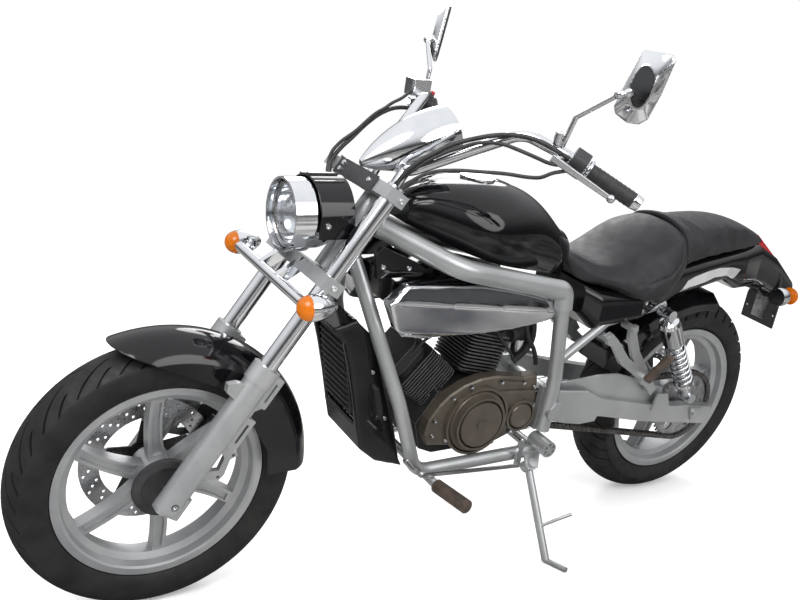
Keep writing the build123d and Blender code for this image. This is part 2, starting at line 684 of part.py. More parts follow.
with BuildPart() as front_caliper:
    with BuildSketch(Plane.YZ.offset(-88)):
        with BuildLine():
            Polyline((48, 170), (96, 165), (118, 110), (96, 66), (50, 70), close=True)
        make_face()
    extrude(amount=14)
    with BuildSketch(Plane.YZ.offset(-59)):
        with BuildLine():
            Polyline((64, 158), (96, 155), (112, 110), (92, 76), (64, 78), close=True)
        make_face()
    extrude(amount=14)
    with BuildSketch(Plane.YZ.offset(-88)):
        with BuildLine():
            Polyline((118, 110), (110, 130), (150, 112), (140, 84), (98, 70), (84, 84), close=True)
        make_face()
    extrude(amount=43)
    with BuildSketch(Plane.YZ.offset(-59)):
        with Locations((0, 0)):
            Circle(156)
    extrude(amount=-14.2, mode=Mode.SUBTRACT)
keep(front_caliper, "front_caliper", FORK)

# ---------------------------------------------------------------- frame
HEAD_LOW, HEAD_HIGH = CLAMPS["lower"][0] + CLAMPS["lower"][1] + 3, CLAMPS["top"][0] - 3
HEAD_FOOT = fork_point(0, -FORK_OFFSET, HEAD_LOW)
HEAD_TOP = fork_point(0, -FORK_OFFSET, HEAD_HIGH)

LOWER_TUBE_X, LOWER_TUBE_Z = 135, 290
FRAME_SPLIT = (149, 158, 700)  # where the fat upper tube turns into the slimmer rear one
MAIN_POINTS = [(18, -350, 890), (146, -165, 812), (150, 150, 745), FRAME_SPLIT]
REAR_POINTS = [FRAME_SPLIT, (142, 194, 500), (138, 194, 350)]
DOWN_POINTS = [(16, -382, 838), (104, -330, 650), (LOWER_TUBE_X, -262, 480), (LOWER_TUBE_X, -188, LOWER_TUBE_Z),
               (LOWER_TUBE_X, 190, LOWER_TUBE_Z)]
CROSS_END = 190  # how far the cross tubes reach out to each side

with BuildPart() as frame_upper:
    add(tube_run(MAIN_POINTS, [160, 22], FRAME_TUBE_R))
    mirror(about=Plane.YZ)
    add(bar(HEAD_FOOT, HEAD_TOP, HEAD_R))
    with BuildSketch(Plane(HEAD_FOOT, z_dir=(HEAD_TOP - HEAD_FOOT).normalized())):
        Circle(STEM_R + PIN_GAP)
    extrude(amount=HEAD_HIGH - HEAD_LOW, mode=Mode.SUBTRACT)
keep(frame_upper, "frame_upper_tubes")

STUB_Y, STUB_Z, STUB_R = 184, 318, 22
STAND_PIVOT = Vector(160, 152, 261)
STAND_AXIS = Vector(cos(radians(48)), 0, sin(radians(48)))
STAND_HINGE = Plane(STAND_PIVOT, x_dir=(0, 1, 0), z_dir=STAND_AXIS)
HINGE_BOLT_R = 8
HINGE_PLATE = (10, 16)  # faces of the bracket along the bolt

with BuildPart() as frame_cradle:
    add(tube_run(DOWN_POINTS, [200, 160, 55], DOWN_TUBE_R))
    mirror(about=Plane.YZ)
    for side in (1, -1):
        add(bar((side * 125, STUB_Y, STUB_Z), (side * CROSS_END, STUB_Y, STUB_Z), STUB_R))
        # the stub's cap has a raised rim, a hub and six spokes
        with BuildSketch(across(side * CROSS_END)):
            with Locations((STUB_Y, STUB_Z)):
                Circle(STUB_R - 4)
                Circle(6, mode=Mode.SUBTRACT)
                with PolarLocations(0, 6):
                    Rectangle(2 * STUB_R, 4, align=(Align.MIN, Align.CENTER), mode=Mode.SUBTRACT)
        extrude(amount=-side * 5, mode=Mode.SUBTRACT)
    add(bar((-LOWER_TUBE_X, STUB_Y, 290), (LOWER_TUBE_X, STUB_Y, 290), 14))
    add(bar((-CROSS_END, -156, 278), (CROSS_END, -156, 278), 11))
    # bracket and bolt of the side stand
    with BuildSketch(STAND_HINGE.offset(HINGE_PLATE[0])):
        with BuildLine():
            Polyline((-16, -14), (-12, 46), (40, 50), (38, 24), (16, -14), close=True)
        make_face()
        Circle(18)
    extrude(amount=HINGE_PLATE[1] - HINGE_PLATE[0])
    with BuildSketch(STAND_HINGE.offset(-20)):
        Circle(HINGE_BOLT_R)
    extrude(amount=20 + HINGE_PLATE[1] + 3)
    with BuildSketch(STAND_HINGE.offset(HINGE_PLATE[1])):
        RegularPolygon(13, 6)
    extrude(amount=8)
    add(bar(HEAD_FOOT - Vector(0, 20, 30), HEAD_TOP, HEAD_R), mode=Mode.SUBTRACT)
    add(frame_upper, mode=Mode.SUBTRACT)
keep(frame_cradle, "frame_cradle")

with BuildPart() as frame_rear:
    add(tube_run(REAR_POINTS, [90], REAR_TUBE_R))
    # sub-frame rail back to the shock's upper eye
    add(bar((140, 185, 540), (112, 360, 628), 12))
    add(bar((112, 355, 627), (112, 560, 668), 12))
    # pivot plate
    with BuildSketch(across(112)):
        with BuildLine():
            Polyline((174, 470), (215, 470), (232, 400), (215, 346), (174, 346), close=True)
        make_face()
    extrude(amount=16)
    # oval cap over the pivot's end
    with BuildSketch(across(130)):
        with Locations((202, 414)):
            SlotCenterToCenter(24, 30, rotation=45)
    extrude(amount=34)
    mirror(about=Plane.YZ)
    add(frame_upper, mode=Mode.SUBTRACT)
    add(frame_cradle, mode=Mode.SUBTRACT)
keep(frame_rear, "frame_rear_tubes")

# ---------------------------------------------------------------- tank and covers
# sections of the tank: y, half width, bottom z, crease z, top z
TANK_SECTIONS = [
    (-258, 42, 886, 915, 948),
    (-228, 68, 875, 918, 964),
    (-186, 97, 858, 912, 974),
    (-110, 136, 830, 892, 980),
    (20, 140, 797, 870, 972),
    (140, 108, 770, 838, 911),
    (225, 62, 762, 810, 852),
]
with BuildPart() as fuel_tank:
    for y, half, bottom, crease, top in TANK_SECTIONS:
        with BuildSketch(along(y)):
            with BuildLine():
                Line((-half * 0.86, bottom), (half * 0.86, bottom))
                ThreePointArc((half * 0.86, bottom), (half * 0.97, (bottom + crease) / 2), (half, crease))
                ThreePointArc((half, crease), (half * 0.66, crease + (top - crease) * 0.8), (0, top))
                ThreePointArc((0, top), (-half * 0.66, crease + (top - crease) * 0.8), (-half, crease))
                ThreePointArc((-half, crease), (-half * 0.97, (bottom + crease) / 2), (-half * 0.86, bottom))
            make_face()
    loft()
    add(frame_upper, mode=Mode.SUBTRACT)
keep(fuel_tank, "fuel_tank")

with BuildPart() as filler_cap:
    with BuildSketch(Plane((0, -55, 976))):
        Circle(42)
    extrude(amount=12)
    add(fuel_tank, mode=Mode.SUBTRACT)
keep(filler_cap, "filler_cap")

COVER_CREASE = [(-353, 745), (87, 696)]  # ridge of each cover's outer face: y and z of its ends
COVER_FACE = 150
crease_run = Vector(0, COVER_CREASE[1][0] - COVER_CREASE[0][0], COVER_CREASE[1][1] - COVER_CREASE[0][1])
# looking along the ridge: own x outwards, own y down
CREASE = Plane((0, *COVER_CREASE[0]), x_dir=(1, 0, 0), z_dir=crease_run.normalized())
with BuildPart() as air_covers:
    with BuildSketch(across(112)):
        with BuildLine():
            Polyline((-338, 738), (-307, 674), (-284, 650), (-230, 640), (-62, 643), (26, 649), (86, 657), (131, 667),
                     (153, 680), (153, 697), (133, 717), (33, 744), (-89, 766), (-201, 772), (-294, 777), close=True)
        make_face()
    extrude(amount=COVER_FACE - 112)
    with BuildSketch(CREASE):
        with BuildLine():
            Polyline((COVER_FACE, 0), (COVER_FACE - 20, -60), (COVER_FACE - 40, -80), (COVER_FACE + 10, -80),
                     (COVER_FACE + 10, 0), close=True)
        make_face()
        with BuildLine():
            Polyline((COVER_FACE, 0), (COVER_FACE - 12, 70), (COVER_FACE - 22, 84), (COVER_FACE - 24, 130),
                     (COVER_FACE + 10, 130), (COVER_FACE + 10, 0), close=True)
        make_face()
    extrude(amount=540, mode=Mode.SUBTRACT)
    add(frame_upper, mode=Mode.SUBTRACT)
    add(frame_rear, mode=Mode.SUBTRACT)
    mirror(about=Plane.YZ)
keep(air_covers, "air_covers")

with BuildPart() as airbox:
    with BuildSketch(across(-111)):
        with BuildLine():
            Polyline((-292, 768), (-270, 690), (90, 690), (110, 730), (-120, 782), close=True)
        make_face()
    extrude(amount=222)

with BuildPart() as head_panels:
    with BuildSketch(across(70)):
        with BuildLine():
            Polyline((-350, 834), (-335, 848), (-235, 806), (-190, 776), (-340, 776), close=True)
        make_face()
    extrude(amount=14)
    add(frame_upper, mode=Mode.SUBTRACT)
    add(frame_cradle, mode=Mode.SUBTRACT)
    mirror(about=Plane.YZ)
    add(airbox)
keep(head_panels, "airbox")

# ---------------------------------------------------------------- radiator and cowl
# header pipe on the right: down behind the radiator and out under the cradle
EXHAUST_R = 18
EXHAUST_RUN = [(-20, -222, 520), (-30, -262, 474), (-86, -210, 400), (-94, -192, 262), (-140, -150, 222),
               (-178, -60, 222), (-180, 300, 246)]
EXHAUST_BENDS = [30, 60, 40, 50, 120]

RADIATOR_HALF = 66
COWL_X, COWL_SIDE_T = 88, 18
FRAME_CLEAR = DOWN_TUBE_R + BODY_GAP
with BuildPart() as radiator:
    with BuildSketch(across(-RADIATOR_HALF)):
        with BuildLine():
            Polyline((-394, 662), (-348, 436), (-322, 440), (-368, 668), close=True)
        make_face()
    extrude(amount=2 * RADIATOR_HALF)
    # thin fins across its front
    for i in range(14):
        share = (i + 0.5) / 14
        with BuildSketch(across(-RADIATOR_HALF + 6)):
            with Locations((-394 + 46 * share - 2, 662 - 226 * share)):
                Rectangle(8, 4)
        extrude(amount=2 * RADIATOR_HALF - 12)
keep(radiator, "radiator")

with BuildPart() as radiator_cowl:
    with BuildSketch(across(COWL_X - COWL_SIDE_T)):
        with BuildLine():
            Polyline((-435, 664), (-400, 625), (-379, 561), (-357, 482), (-338, 406), (-321, 345), (-274, 306),
                     (-193, 278), (-205, 300), (-226, 370), (-262, 470), (-300, 570), (-335, 643), (-372, 676),
                     close=True)
        make_face()
    extrude(amount=COWL_SIDE_T)
    chamfer(radiator_cowl.faces().sort_by(Axis.X)[-1].edges(), 3)
    # recess low down in each side, and the heads of the bolts that hold it
    with BuildSketch(across(COWL_X)):
        with BuildLine():
            Polyline((-318, 520), (-296, 500), (-276, 430), (-292, 424), (-306, 440), close=True)
        make_face()
    extrude(amount=-4, mode=Mode.SUBTRACT)
    mirror(about=Plane.YZ)
    # belly piece below the core
    with BuildSketch(across(-COWL_X + 1)):
        with BuildLine():
            Polyline((-338, 406), (-321, 345), (-274, 306), (-193, 278), (-200, 290), (-262, 322), (-304, 360),
                     (-326, 412), close=True)
        make_face()
    extrude(amount=2 * COWL_X - 2)
    # brow above it
    with BuildSketch(across(-COWL_X + 1)):
        with BuildLine():
            Polyline((-435, 664), (-424, 652), (-410, 660), (-372, 672), (-372, 680), close=True)
        make_face()
    extrude(amount=2 * COWL_X - 2)
    add(tube_run(DOWN_POINTS, [200, 160, 55], FRAME_CLEAR), mode=Mode.SUBTRACT)
    add(mirror(tube_run(DOWN_POINTS, [200, 160, 55], FRAME_CLEAR), about=Plane.YZ), mode=Mode.SUBTRACT)
    add(radiator, mode=Mode.SUBTRACT)
    add(tube_run(EXHAUST_RUN, EXHAUST_BENDS, EXHAUST_R + 5), mode=Mode.SUBTRACT)
keep(radiator_cowl, "radiator_cowl")

# ---------------------------------------------------------------- engine
CRANK = Vector(0, -20, 392)
CYLINDER_LEAN = (-49, 14)  # front and rear cylinder, about the crank
CASE_HALF = 84

with BuildPart() as crankcase:
    with BuildSketch(across(-CASE_HALF)):
        with BuildLine():
            Polyline((-150, 318), (-172, 390), (-120, 470), (40, 490), (150, 440), (148, 360), (110, 318), (60, 300),
                     (-110, 300), close=True)
        make_face()
    extrude(amount=2 * CASE_HALF)
keep(crankcase, "crankcase")

# bosses on the left cover: y, z, radius, how far their faces stand out from the crankcase
LEFT_BOSSES = [(-17, 397, 92, 46), (-17, 397, 72, 62), (-17, 397, 14, 66), (122, 392, 44, 44)]
COVER_BOLTS = [(-143, 372), (-142, 412), (-98, 468), (-50, 492), (40, 496), (112, 486), (152, 470), (160, 352),
               (100, 348), (40, 332), (-100, 352)]
with BuildPart() as engine_covers:
    with BuildSketch(across(CASE_HALF)):
        with BuildLine():
            Polyline((-156, 356), (-162, 373), (-155, 413), (-131, 450), (-107, 474), (-67, 496), (-19, 509),
                     (29, 511), (117, 498), (160, 500), (168, 451), (172, 376), (168, 340), (108, 338), (64, 322),
                     (-5, 322), (-150, 344), close=True)
        make_face()
    extrude(amount=32)
    chamfer(engine_covers.faces().sort_by(Axis.X)[-1].edges(), 4)
    for y, z, radius, stand_out in LEFT_BOSSES:
        with BuildSketch(across(CASE_HALF + 30)):
            with Locations((y, z)):
                Circle(radius)
                if radius > 16:
                    Circle(radius - 6, mode=Mode.SUBTRACT)
        extrude(amount=stand_out - 32)
        if radius > 16:
            with BuildSketch(across(CASE_HALF + 30)):
                with Locations((y, z)):
                    Circle(radius - 5)
            with BuildSketch(across(CASE_HALF + stand_out)):
                with Locations((y, z)):
                    Circle(radius - 12)
            loft()
    # two ridges along the top
    for ridge in ([(-1, 472), (65, 469), (154, 460), (154, 450), (65, 459), (-1, 462)],
                  [(39, 500), (121, 487), (119, 479), (37, 492)]):
        with BuildSketch(across(CASE_HALF + 30)):
            with BuildLine():
                Polyline(*ridge, close=True)
            make_face()
        extrude(amount=8)
    with BuildSketch(across(CASE_HALF + 28)):
        with Locations(*COVER_BOLTS):
            RegularPolygon(6, 6)
    extrude(amount=8)
    with BuildSketch(across(-CASE_HALF)):
        with BuildLine():
            Polyline((-150, 330), (-160, 400), (-110, 462), (60, 466), (130, 430), (130, 350), (80, 322),
                     (-110, 318), close=True)
        make_face()
    extrude(amount=-34)
    with BuildSketch(across(-CASE_HALF - 34)):
        with Locations((-10, 394)):
            Circle(66)
    extrude(amount=-12)
keep(engine_covers, "engine_covers")

FIN_PITCH, FIN_T = 9, 3
cylinders = []
for tilt in CYLINDER_LEAN:
    # up the bore, from the crank: x across, y back, z up the cylinder
    bore = Plane(CRANK, x_dir=(1, 0, 0), z_dir=(0, sin(radians(tilt)), cos(radians(tilt))))
    with BuildPart() as cylinder:
        with BuildSketch(Plane.XY.offset(100)):
            RectangleRounded(104, 96, 24)
        extrude(amount=160)
        for i in range(12):
            with BuildSketch(Plane.XY.offset(112 + i * FIN_PITCH)):
                RectangleRounded(132, 124, 14)
            extrude(amount=FIN_T)
        with BuildSketch(Plane.XY.offset(232)):
            RectangleRounded(112, 100, 16)
        extrude(amount=30)
    cylinders.append(bore.location * cylinder.part)
with BuildPart() as cylinder_pair:
    for cylinder in cylinders:
        add(cylinder)
    add(crankcase, mode=Mode.SUBTRACT)
    add(engine_covers, mode=Mode.SUBTRACT)
keep(cylinder_pair, "cylinders")

# ---------------------------------------------------------------- exhaust, on the right
with BuildPart() as exhaust:
    add(tube_run(EXHAUST_RUN, EXHAUST_BENDS, EXHAUST_R))
    add(bar((-180, 296, 250), (-190, 900, 296), 40))
    add(cylinder_pair, mode=Mode.SUBTRACT)
keep(exhaust, "exhaust")

# ---------------------------------------------------------------- rear suspension and drive
ARM_X, ARM_T = 124, 30
with BuildPart() as swingarm:
    with BuildSketch(across(ARM_X - ARM_T / 2)):
        with BuildLine():
            Polyline((200, 446), (300, 440), (393, 412), (561, 373), (692, 349), (743, 345), (866, 322), (854, 272),
                     (827, 273), (560, 319), (395, 359), (200, 380), close=True)
        make_face()
        with Locations((REAR_AXLE.Y, REAR_AXLE.Z)):
            Circle(AXLE_R, mode=Mode.SUBTRACT)
    extrude(amount=ARM_T)
    # web that carries the chain guard, and the plate round the axle's end
    with BuildSketch(across(ARM_X + ARM_T / 2)):
        with BuildLine():
            Polyline((588, 352), (598, 404), (640, 399), (665, 340), close=True)
        make_face()
        with BuildLine():
            Polyline((756, 336), (811, 329), (842, 284), (772, 294), close=True)
        make_face()
        with Locations((REAR_AXLE.Y, REAR_AXLE.Z)):
            Circle(AXLE_R, mode=Mode.SUBTRACT)
    extrude(amount=6)
    # cover over the arm's front end
    with BuildSketch(across(ARM_X + ARM_T / 2)):
        with BuildLine():
            Polyline((216, 462), (268, 455), (322, 448), (377, 420), (377, 371), (369, 351), (315, 350), (259, 361),
                     (216, 374), close=True)
        make_face()
    extrude(amount=9)
    chamfer(swingarm.faces().sort_by(Axis.X)[-1].edges(), 2)
    mirror(about=Plane.YZ)
    add(frame_rear, mode=Mode.SUBTRACT)
    add(bar((-ARM_X, 272, 400), (ARM_X, 272, 400), 18))
    # guard over the front of the chain
    with BuildSketch(across(118)):
        with BuildLine():
            Polyline((240, 470), (370, 478), (444, 474), (531, 448), (636, 408), (640, 350), (540, 370), (482, 380),
                     (300, 430), (240, 440), close=True)
        make_face()
    extrude(amount=6)
    add(frame_rear, mode=Mode.SUBTRACT)
keep(swingarm, "swingarm")

with BuildPart() as rear_axle:
    add(bar((-ARM_X - 18, REAR_AXLE.Y, REAR_AXLE.Z), (ARM_X + 26, REAR_AXLE.Y, REAR_AXLE.Z), AXLE_R))
keep(rear_axle, "rear_axle")

# shocks: from the frame's upper eye down to the swingarm
SHOCK_TOP, SHOCK_FOOT = Vector(150, 540, 655), Vector(150, 716, 384)
SHOCK_AXIS = SHOCK_FOOT - SHOCK_TOP
SHOCK = Plane(SHOCK_TOP, x_dir=(1, 0, 0), z_dir=SHOCK_AXIS.normalized())
COIL_START, COIL_END, COIL_PITCH = 116, 252, 19
with BuildPart() as shocks:
    with BuildSketch(Plane.XZ):
        with BuildLine():
            Polyline((0, -18), (12, -14), (12, 20), (26, 28), (30, 40), (30, 104), (26, 112), (12, 112), (12, 258),
                     (28, 258), (30, 262), (30, 268), (14, 276), (14, 318), (0, 318), close=True)
        make_face()
    revolve(axis=Axis.Z)
    with BuildLine(Plane.XY.offset(COIL_START)):
        coil = Helix(pitch=COIL_PITCH, height=COIL_END - COIL_START, radius=24)
    with BuildSketch(Plane(coil @ 0, z_dir=coil % 0)):
        Circle(4.5)
    sweep(path=coil, is_frenet=True)
    with BuildSketch(Plane.YZ.offset(-24)):
        with Locations((0, 0), (0, SHOCK_AXIS.length)):
            Circle(15)
    extrude(amount=44)
with BuildPart() as shock_pair:
    add(SHOCK.location * shocks.part)
    mirror(about=Plane.YZ)
keep(shock_pair, "shocks")

FRONT_SPROCKET = Vector(SPROCKET_X, 118, 398)
FRONT_SPROCKET_R = 38
CHAIN_HEIGHT, PLATE_T, CHAIN_HALF = 13, 3, 9
ROLLER_R = 5
RUN_END = 48  # length of each run, beside the rear sprocket's teeth, that has no rollers


def chain_run(up):
    """Roller centres of the chain's upper (1) or lower (-1) straight run."""
    gap = Vector(REAR_AXLE.Y - FRONT_SPROCKET.Y, REAR_AXLE.Z - FRONT_SPROCKET.Z)
    ahead = gap.normalized()
    # the run leans away from the line of centres, as the sprockets differ in size
    slope = (SPROCKET_R - FRONT_SPROCKET_R) / gap.length
    outward = Vector(-ahead.Y, ahead.X) * up
    normal = outward * (1 - slope**2) ** 0.5 - ahead * slope
    along_run = ahead * (1 - slope**2) ** 0.5 + outward * slope
    start = Vector(FRONT_SPROCKET.Y, FRONT_SPROCKET.Z) + normal * FRONT_SPROCKET_R
    count = int((gap.length * (1 - slope**2) ** 0.5 - RUN_END) / CHAIN_PITCH)
    centres = [start + along_run * (CHAIN_PITCH * (i + 0.5)) for i in range(count)]
    return [(centre.X, centre.Y) for centre in centres]


with BuildPart() as chain:
    with BuildSketch(mode=Mode.PRIVATE) as loop:
        with Locations((FRONT_SPROCKET.Y, FRONT_SPROCKET.Z)):
            Circle(FRONT_SPROCKET_R + CHAIN_HEIGHT / 2)
        with Locations((REAR_AXLE.Y, REAR_AXLE.Z)):
            Circle(SPROCKET_R + CHAIN_HEIGHT / 2)
        make_hull()
    with BuildSketch(mode=Mode.PRIVATE) as gap:
        with Locations((FRONT_SPROCKET.Y, FRONT_SPROCKET.Z)):
            Circle(FRONT_SPROCKET_R - CHAIN_HEIGHT / 2)
        with Locations((REAR_AXLE.Y, REAR_AXLE.Z)):
            Circle(SPROCKET_R - CHAIN_HEIGHT / 2)
        make_hull()
    for x in (SPROCKET_X - CHAIN_HALF, SPROCKET_X + CHAIN_HALF - PLATE_T):
        with BuildSketch(Plane.YZ.offset(x)):
            add(loop.sketch)
            add(gap.sketch, mode=Mode.SUBTRACT)
        extrude(amount=PLATE_T)
    # rollers along both straight runs
    for up in (1, -1):
        with BuildSketch(Plane.YZ.offset(SPROCKET_X - CHAIN_HALF + PLATE_T)):
            with Locations(*chain_run(up)):
                Circle(ROLLER_R)
        extrude(amount=2 * (CHAIN_HALF - PLATE_T))
    add(crankcase, mode=Mode.SUBTRACT)
    add(engine_covers, mode=Mode.SUBTRACT)
keep(chain, "chain")

# ---------------------------------------------------------------- seat and tail
# sections of the saddle and pillion: y, half width, bottom z, top z
SADDLE_SECTIONS = [(244, 44, 778, 812), (325, 118, 728, 776), (425, 160, 700, 808), (500, 163, 698, 856),
                   (560, 150, 740, 876), (600, 122, 772, 884)]
PILLION_SECTIONS = [(602, 118, 766, 884), (700, 112, 784, 876), (840, 98, 796, 874), (930, 84, 802, 848),
                    (1000, 58, 806, 816)]


def cushion(sections):
    """Soft seat solid with a crowned top, through its sections."""
    with BuildPart() as piece:
        for y, half, bottom, top in sections:
            with BuildSketch(along(y)):
                with BuildLine():
                    Line((-half, bottom), (half, bottom))
                    ThreePointArc((half, bottom), (half * 0.98, bottom + (top - bottom) * 0.45),
                                  (half * 0.8, bottom + (top - bottom) * 0.82))
                    ThreePointArc((half * 0.8, bottom + (top - bottom) * 0.82), (0, top),
                                  (-half * 0.8, bottom + (top - bottom) * 0.82))
                    ThreePointArc((-half * 0.8, bottom + (top - bottom) * 0.82),
                                  (-half * 0.98, bottom + (top - bottom) * 0.45), (-half, bottom))
                make_face()
        loft()
    return piece


pillion = cushion(PILLION_SECTIONS)
saddle = cushion(SADDLE_SECTIONS)
keep(saddle, "saddle")
keep(pillion, "pillion_seat")

# sections of the tail: y, half width, bottom z, top z
TAIL_SECTIONS = [(275, 100, 650, 730), (315, 128, 610, 716), (459, 134, 631, 708), (530, 121, 650, 724),
                 (602, 118, 688, 764), (700, 116, 702, 780), (800, 106, 716, 790), (900, 90, 672, 800),
                 (990, 66, 662, 806), (1060, 54, 646, 776), (1130, 42, 612, 746), (1245, 26, 584, 664)]
with BuildPart() as tail:
    for y, half, bottom, top in TAIL_SECTIONS:
        with BuildSketch(along(y)):
            with Locations((0, (bottom + top) / 2)):
                RectangleRounded(2 * half, top - bottom, (top - bottom) * 0.3)
    loft(ruled=True)
    add(saddle, mode=Mode.SUBTRACT)
    add(pillion, mode=Mode.SUBTRACT)
    add(frame_rear, mode=Mode.SUBTRACT)

REAR_FENDER_R, REAR_FENDER_T, FENDER_ARC = 344, 4, 77
with BuildPart() as rear_fender:
    with BuildSketch(Plane.XZ):
        with BuildLine():
            Polyline((300, 84), (REAR_FENDER_R - 24, 84), (REAR_FENDER_R, 50), (REAR_FENDER_R, -50),
                     (REAR_FENDER_R - 24, -84), (300, -84), (300, REAR_FENDER_T - 84),
                     (REAR_FENDER_R - 26, REAR_FENDER_T - 84), (REAR_FENDER_R - REAR_FENDER_T, -48),
                     (REAR_FENDER_R - REAR_FENDER_T, 48), (REAR_FENDER_R - 26, 84 - REAR_FENDER_T),
                     (300, 84 - REAR_FENDER_T), close=True)
        make_face()
    revolve(axis=Axis.Z, revolution_arc=FENDER_ARC)
FENDER_START = radians(80)  # where the inner fender begins, up from the rear
REAR_FENDER_PLANE = Plane(REAR_AXLE, x_dir=(0, cos(FENDER_START), sin(FENDER_START)), z_dir=(1, 0, 0))
with BuildPart() as rear_fender_seated:
    add(REAR_FENDER_PLANE.location * rear_fender.part)
    add(tail, mode=Mode.SUBTRACT)
    add(frame_rear, mode=Mode.SUBTRACT)
    add(swingarm, mode=Mode.SUBTRACT)
    add(saddle, mode=Mode.SUBTRACT)
    add(pillion, mode=Mode.SUBTRACT)
with BuildPart() as tail_cowl:
    add(tail)
    add(rear_fender_seated)
keep(tail_cowl, "tail_cowl")

with BuildPart() as taillight:
    with BuildSketch(along(985)):
        with Locations((0, 806)):
            RectangleRounded(90, 44, 16)
    with BuildSketch(along(1100)):
        with Locations((0, 744)):
            RectangleRounded(60, 24, 8)
    loft()
    add(tail, mode=Mode.SUBTRACT)
    add(pillion, mode=Mode.SUBTRACT)
keep(taillight, "taillight")

REAR_INDICATOR = Vector(130, 1060, 664)
with BuildPart() as rear_shells:
    with BuildSketch(Plane.XY):
        add(bullet_shell(-40, 22, 62))
    revolve(axis=Axis.Y)
    with BuildSketch(Plane.YZ.offset(-80)):
        Circle(7)
    extrude(amount=80)
with BuildPart() as rear_lenses:
    with BuildSketch(Plane.XY):
        with BuildLine():
            Line((0, 22.3), (BULLET_R - 1, 22.3))
            ThreePointArc((BULLET_R - 1, 22.3), (BULLET_R - 8, 36), (3, 44))
            Polyline((3, 44), (0, 44), (0, 22.3))
        make_face()
    revolve(axis=Axis.Y)

PLATE_HOLES, PLATE_HOLE_R, PLATE_Y, PLATE_T = [(-50, 560), (50, 560)], 3.5, 1150, 6
with BuildPart() as plate_bracket:
    with BuildSketch(along(PLATE_Y)):
        with BuildLine():
            Polyline((-36, 700), (36, 700), (60, 600), (60, 520), (-60, 520), (-60, 600), close=True)
        make_face()
        with Locations(*PLATE_HOLES):
            Circle(PLATE_HOLE_R, mode=Mode.SUBTRACT)
    extrude(amount=-PLATE_T)
    add(tail, mode=Mode.SUBTRACT)
keep(plate_bracket, "plate_bracket")

with BuildPart() as rear_shell_pair:
    add(Location(REAR_INDICATOR) * rear_shells.part)
    add(tail, mode=Mode.SUBTRACT)
    mirror(about=Plane.YZ)
    add(tail, mode=Mode.SUBTRACT)
keep(rear_shell_pair, "rear_indicator_shells")
keep(mirrored_pair(rear_lenses, REAR_INDICATOR), "rear_indicator_lenses")

# ---------------------------------------------------------------- pegs and brackets
PEG_PLATE_X, PEG_PLATE_T = 134, 13
with BuildPart() as peg_brackets:
    for leg in ([(338, 602), (352, 578), (372, 570), (417, 514), (486, 472), (540, 430), (564, 404), (580, 424),
                 (552, 456), (503, 494), (440, 532), (384, 590), (356, 612)],
                [(420, 622), (424, 590), (456, 530), (500, 474), (524, 492), (476, 548), (448, 600), (446, 626)]):
        with BuildSketch(across(PEG_PLATE_X)):
            with BuildLine():
                Polyline(*leg, close=True)
            make_face()
        extrude(amount=PEG_PLATE_T)
    for y, z in ((350, 595), (434, 616)):
        add(bar((104, y, z), (PEG_PLATE_X + PEG_PLATE_T + 4, y, z), 10))
    with BuildSketch(across(PEG_PLATE_X)):
        with Locations((514, 464)):
            Circle(17)
    extrude(amount=PEG_PLATE_T + 12)
    mirror(about=Plane.YZ)
    add(frame_rear, mode=Mode.SUBTRACT)
keep(peg_brackets, "passenger_peg_brackets")

with BuildPart() as passenger_pegs:
    add(bar((164, 514, 466), (202, 534, 552), 12))
    add(peg_brackets, mode=Mode.SUBTRACT)
    mirror(about=Plane.YZ)

with BuildPart() as rider_pegs:
    add(bar((CROSS_END + 1.5, -156, 278), (CROSS_END + 110, -146, 288), 17))
    mirror(about=Plane.YZ)
with BuildPart() as foot_pegs:
    add(passenger_pegs)
    add(rider_pegs)
keep(foot_pegs, "foot_pegs")

SHIFT_X, SHIFT_T = 168, 8
SHIFT_SHAFT, SHIFT_ROD_END, SHIFT_ROD_FRONT, PEDAL_PAD = (108, 344), (108, 274), (-188, 300), (-236, 343)


def link_plate(x, thickness, first, second, end_r):
    """Flat link with round ends, between two places given as (y, z)."""
    a, b = Vector(*first), Vector(*second)
    turn = degrees(atan2((b - a).Y, (b - a).X))
    with BuildPart() as piece:
        with BuildSketch(across(x)):
            with Locations((a + b) / 2):
                SlotCenterToCenter((b - a).length, 2 * end_r, rotation=turn)
        extrude(amount=thickness)
    return piece.part


with BuildPart() as shift_linkage:
    add(link_plate(SHIFT_X - SHIFT_T, SHIFT_T, SHIFT_SHAFT, SHIFT_ROD_END, 8))
    add(link_plate(SHIFT_X, 5, SHIFT_ROD_END, SHIFT_ROD_FRONT, 4.5))
    add(link_plate(SHIFT_X - SHIFT_T, SHIFT_T, SHIFT_ROD_FRONT, PEDAL_PAD, 8))
    add(bar((SHIFT_X - SHIFT_T - 4, *PEDAL_PAD), (SHIFT_X + 36, *PEDAL_PAD), 6.5))
    add(bar((SHIFT_X - SHIFT_T - 4, *SHIFT_ROD_FRONT), (SHIFT_X - SHIFT_T + 1, *SHIFT_ROD_FRONT), 6))
    # shaft that goes into the engine cover
    add(bar((100, *SHIFT_SHAFT), (SHIFT_X + 3, *SHIFT_SHAFT), 5.5))
    add(engine_covers, mode=Mode.SUBTRACT)
keep(shift_linkage, "shift_linkage")

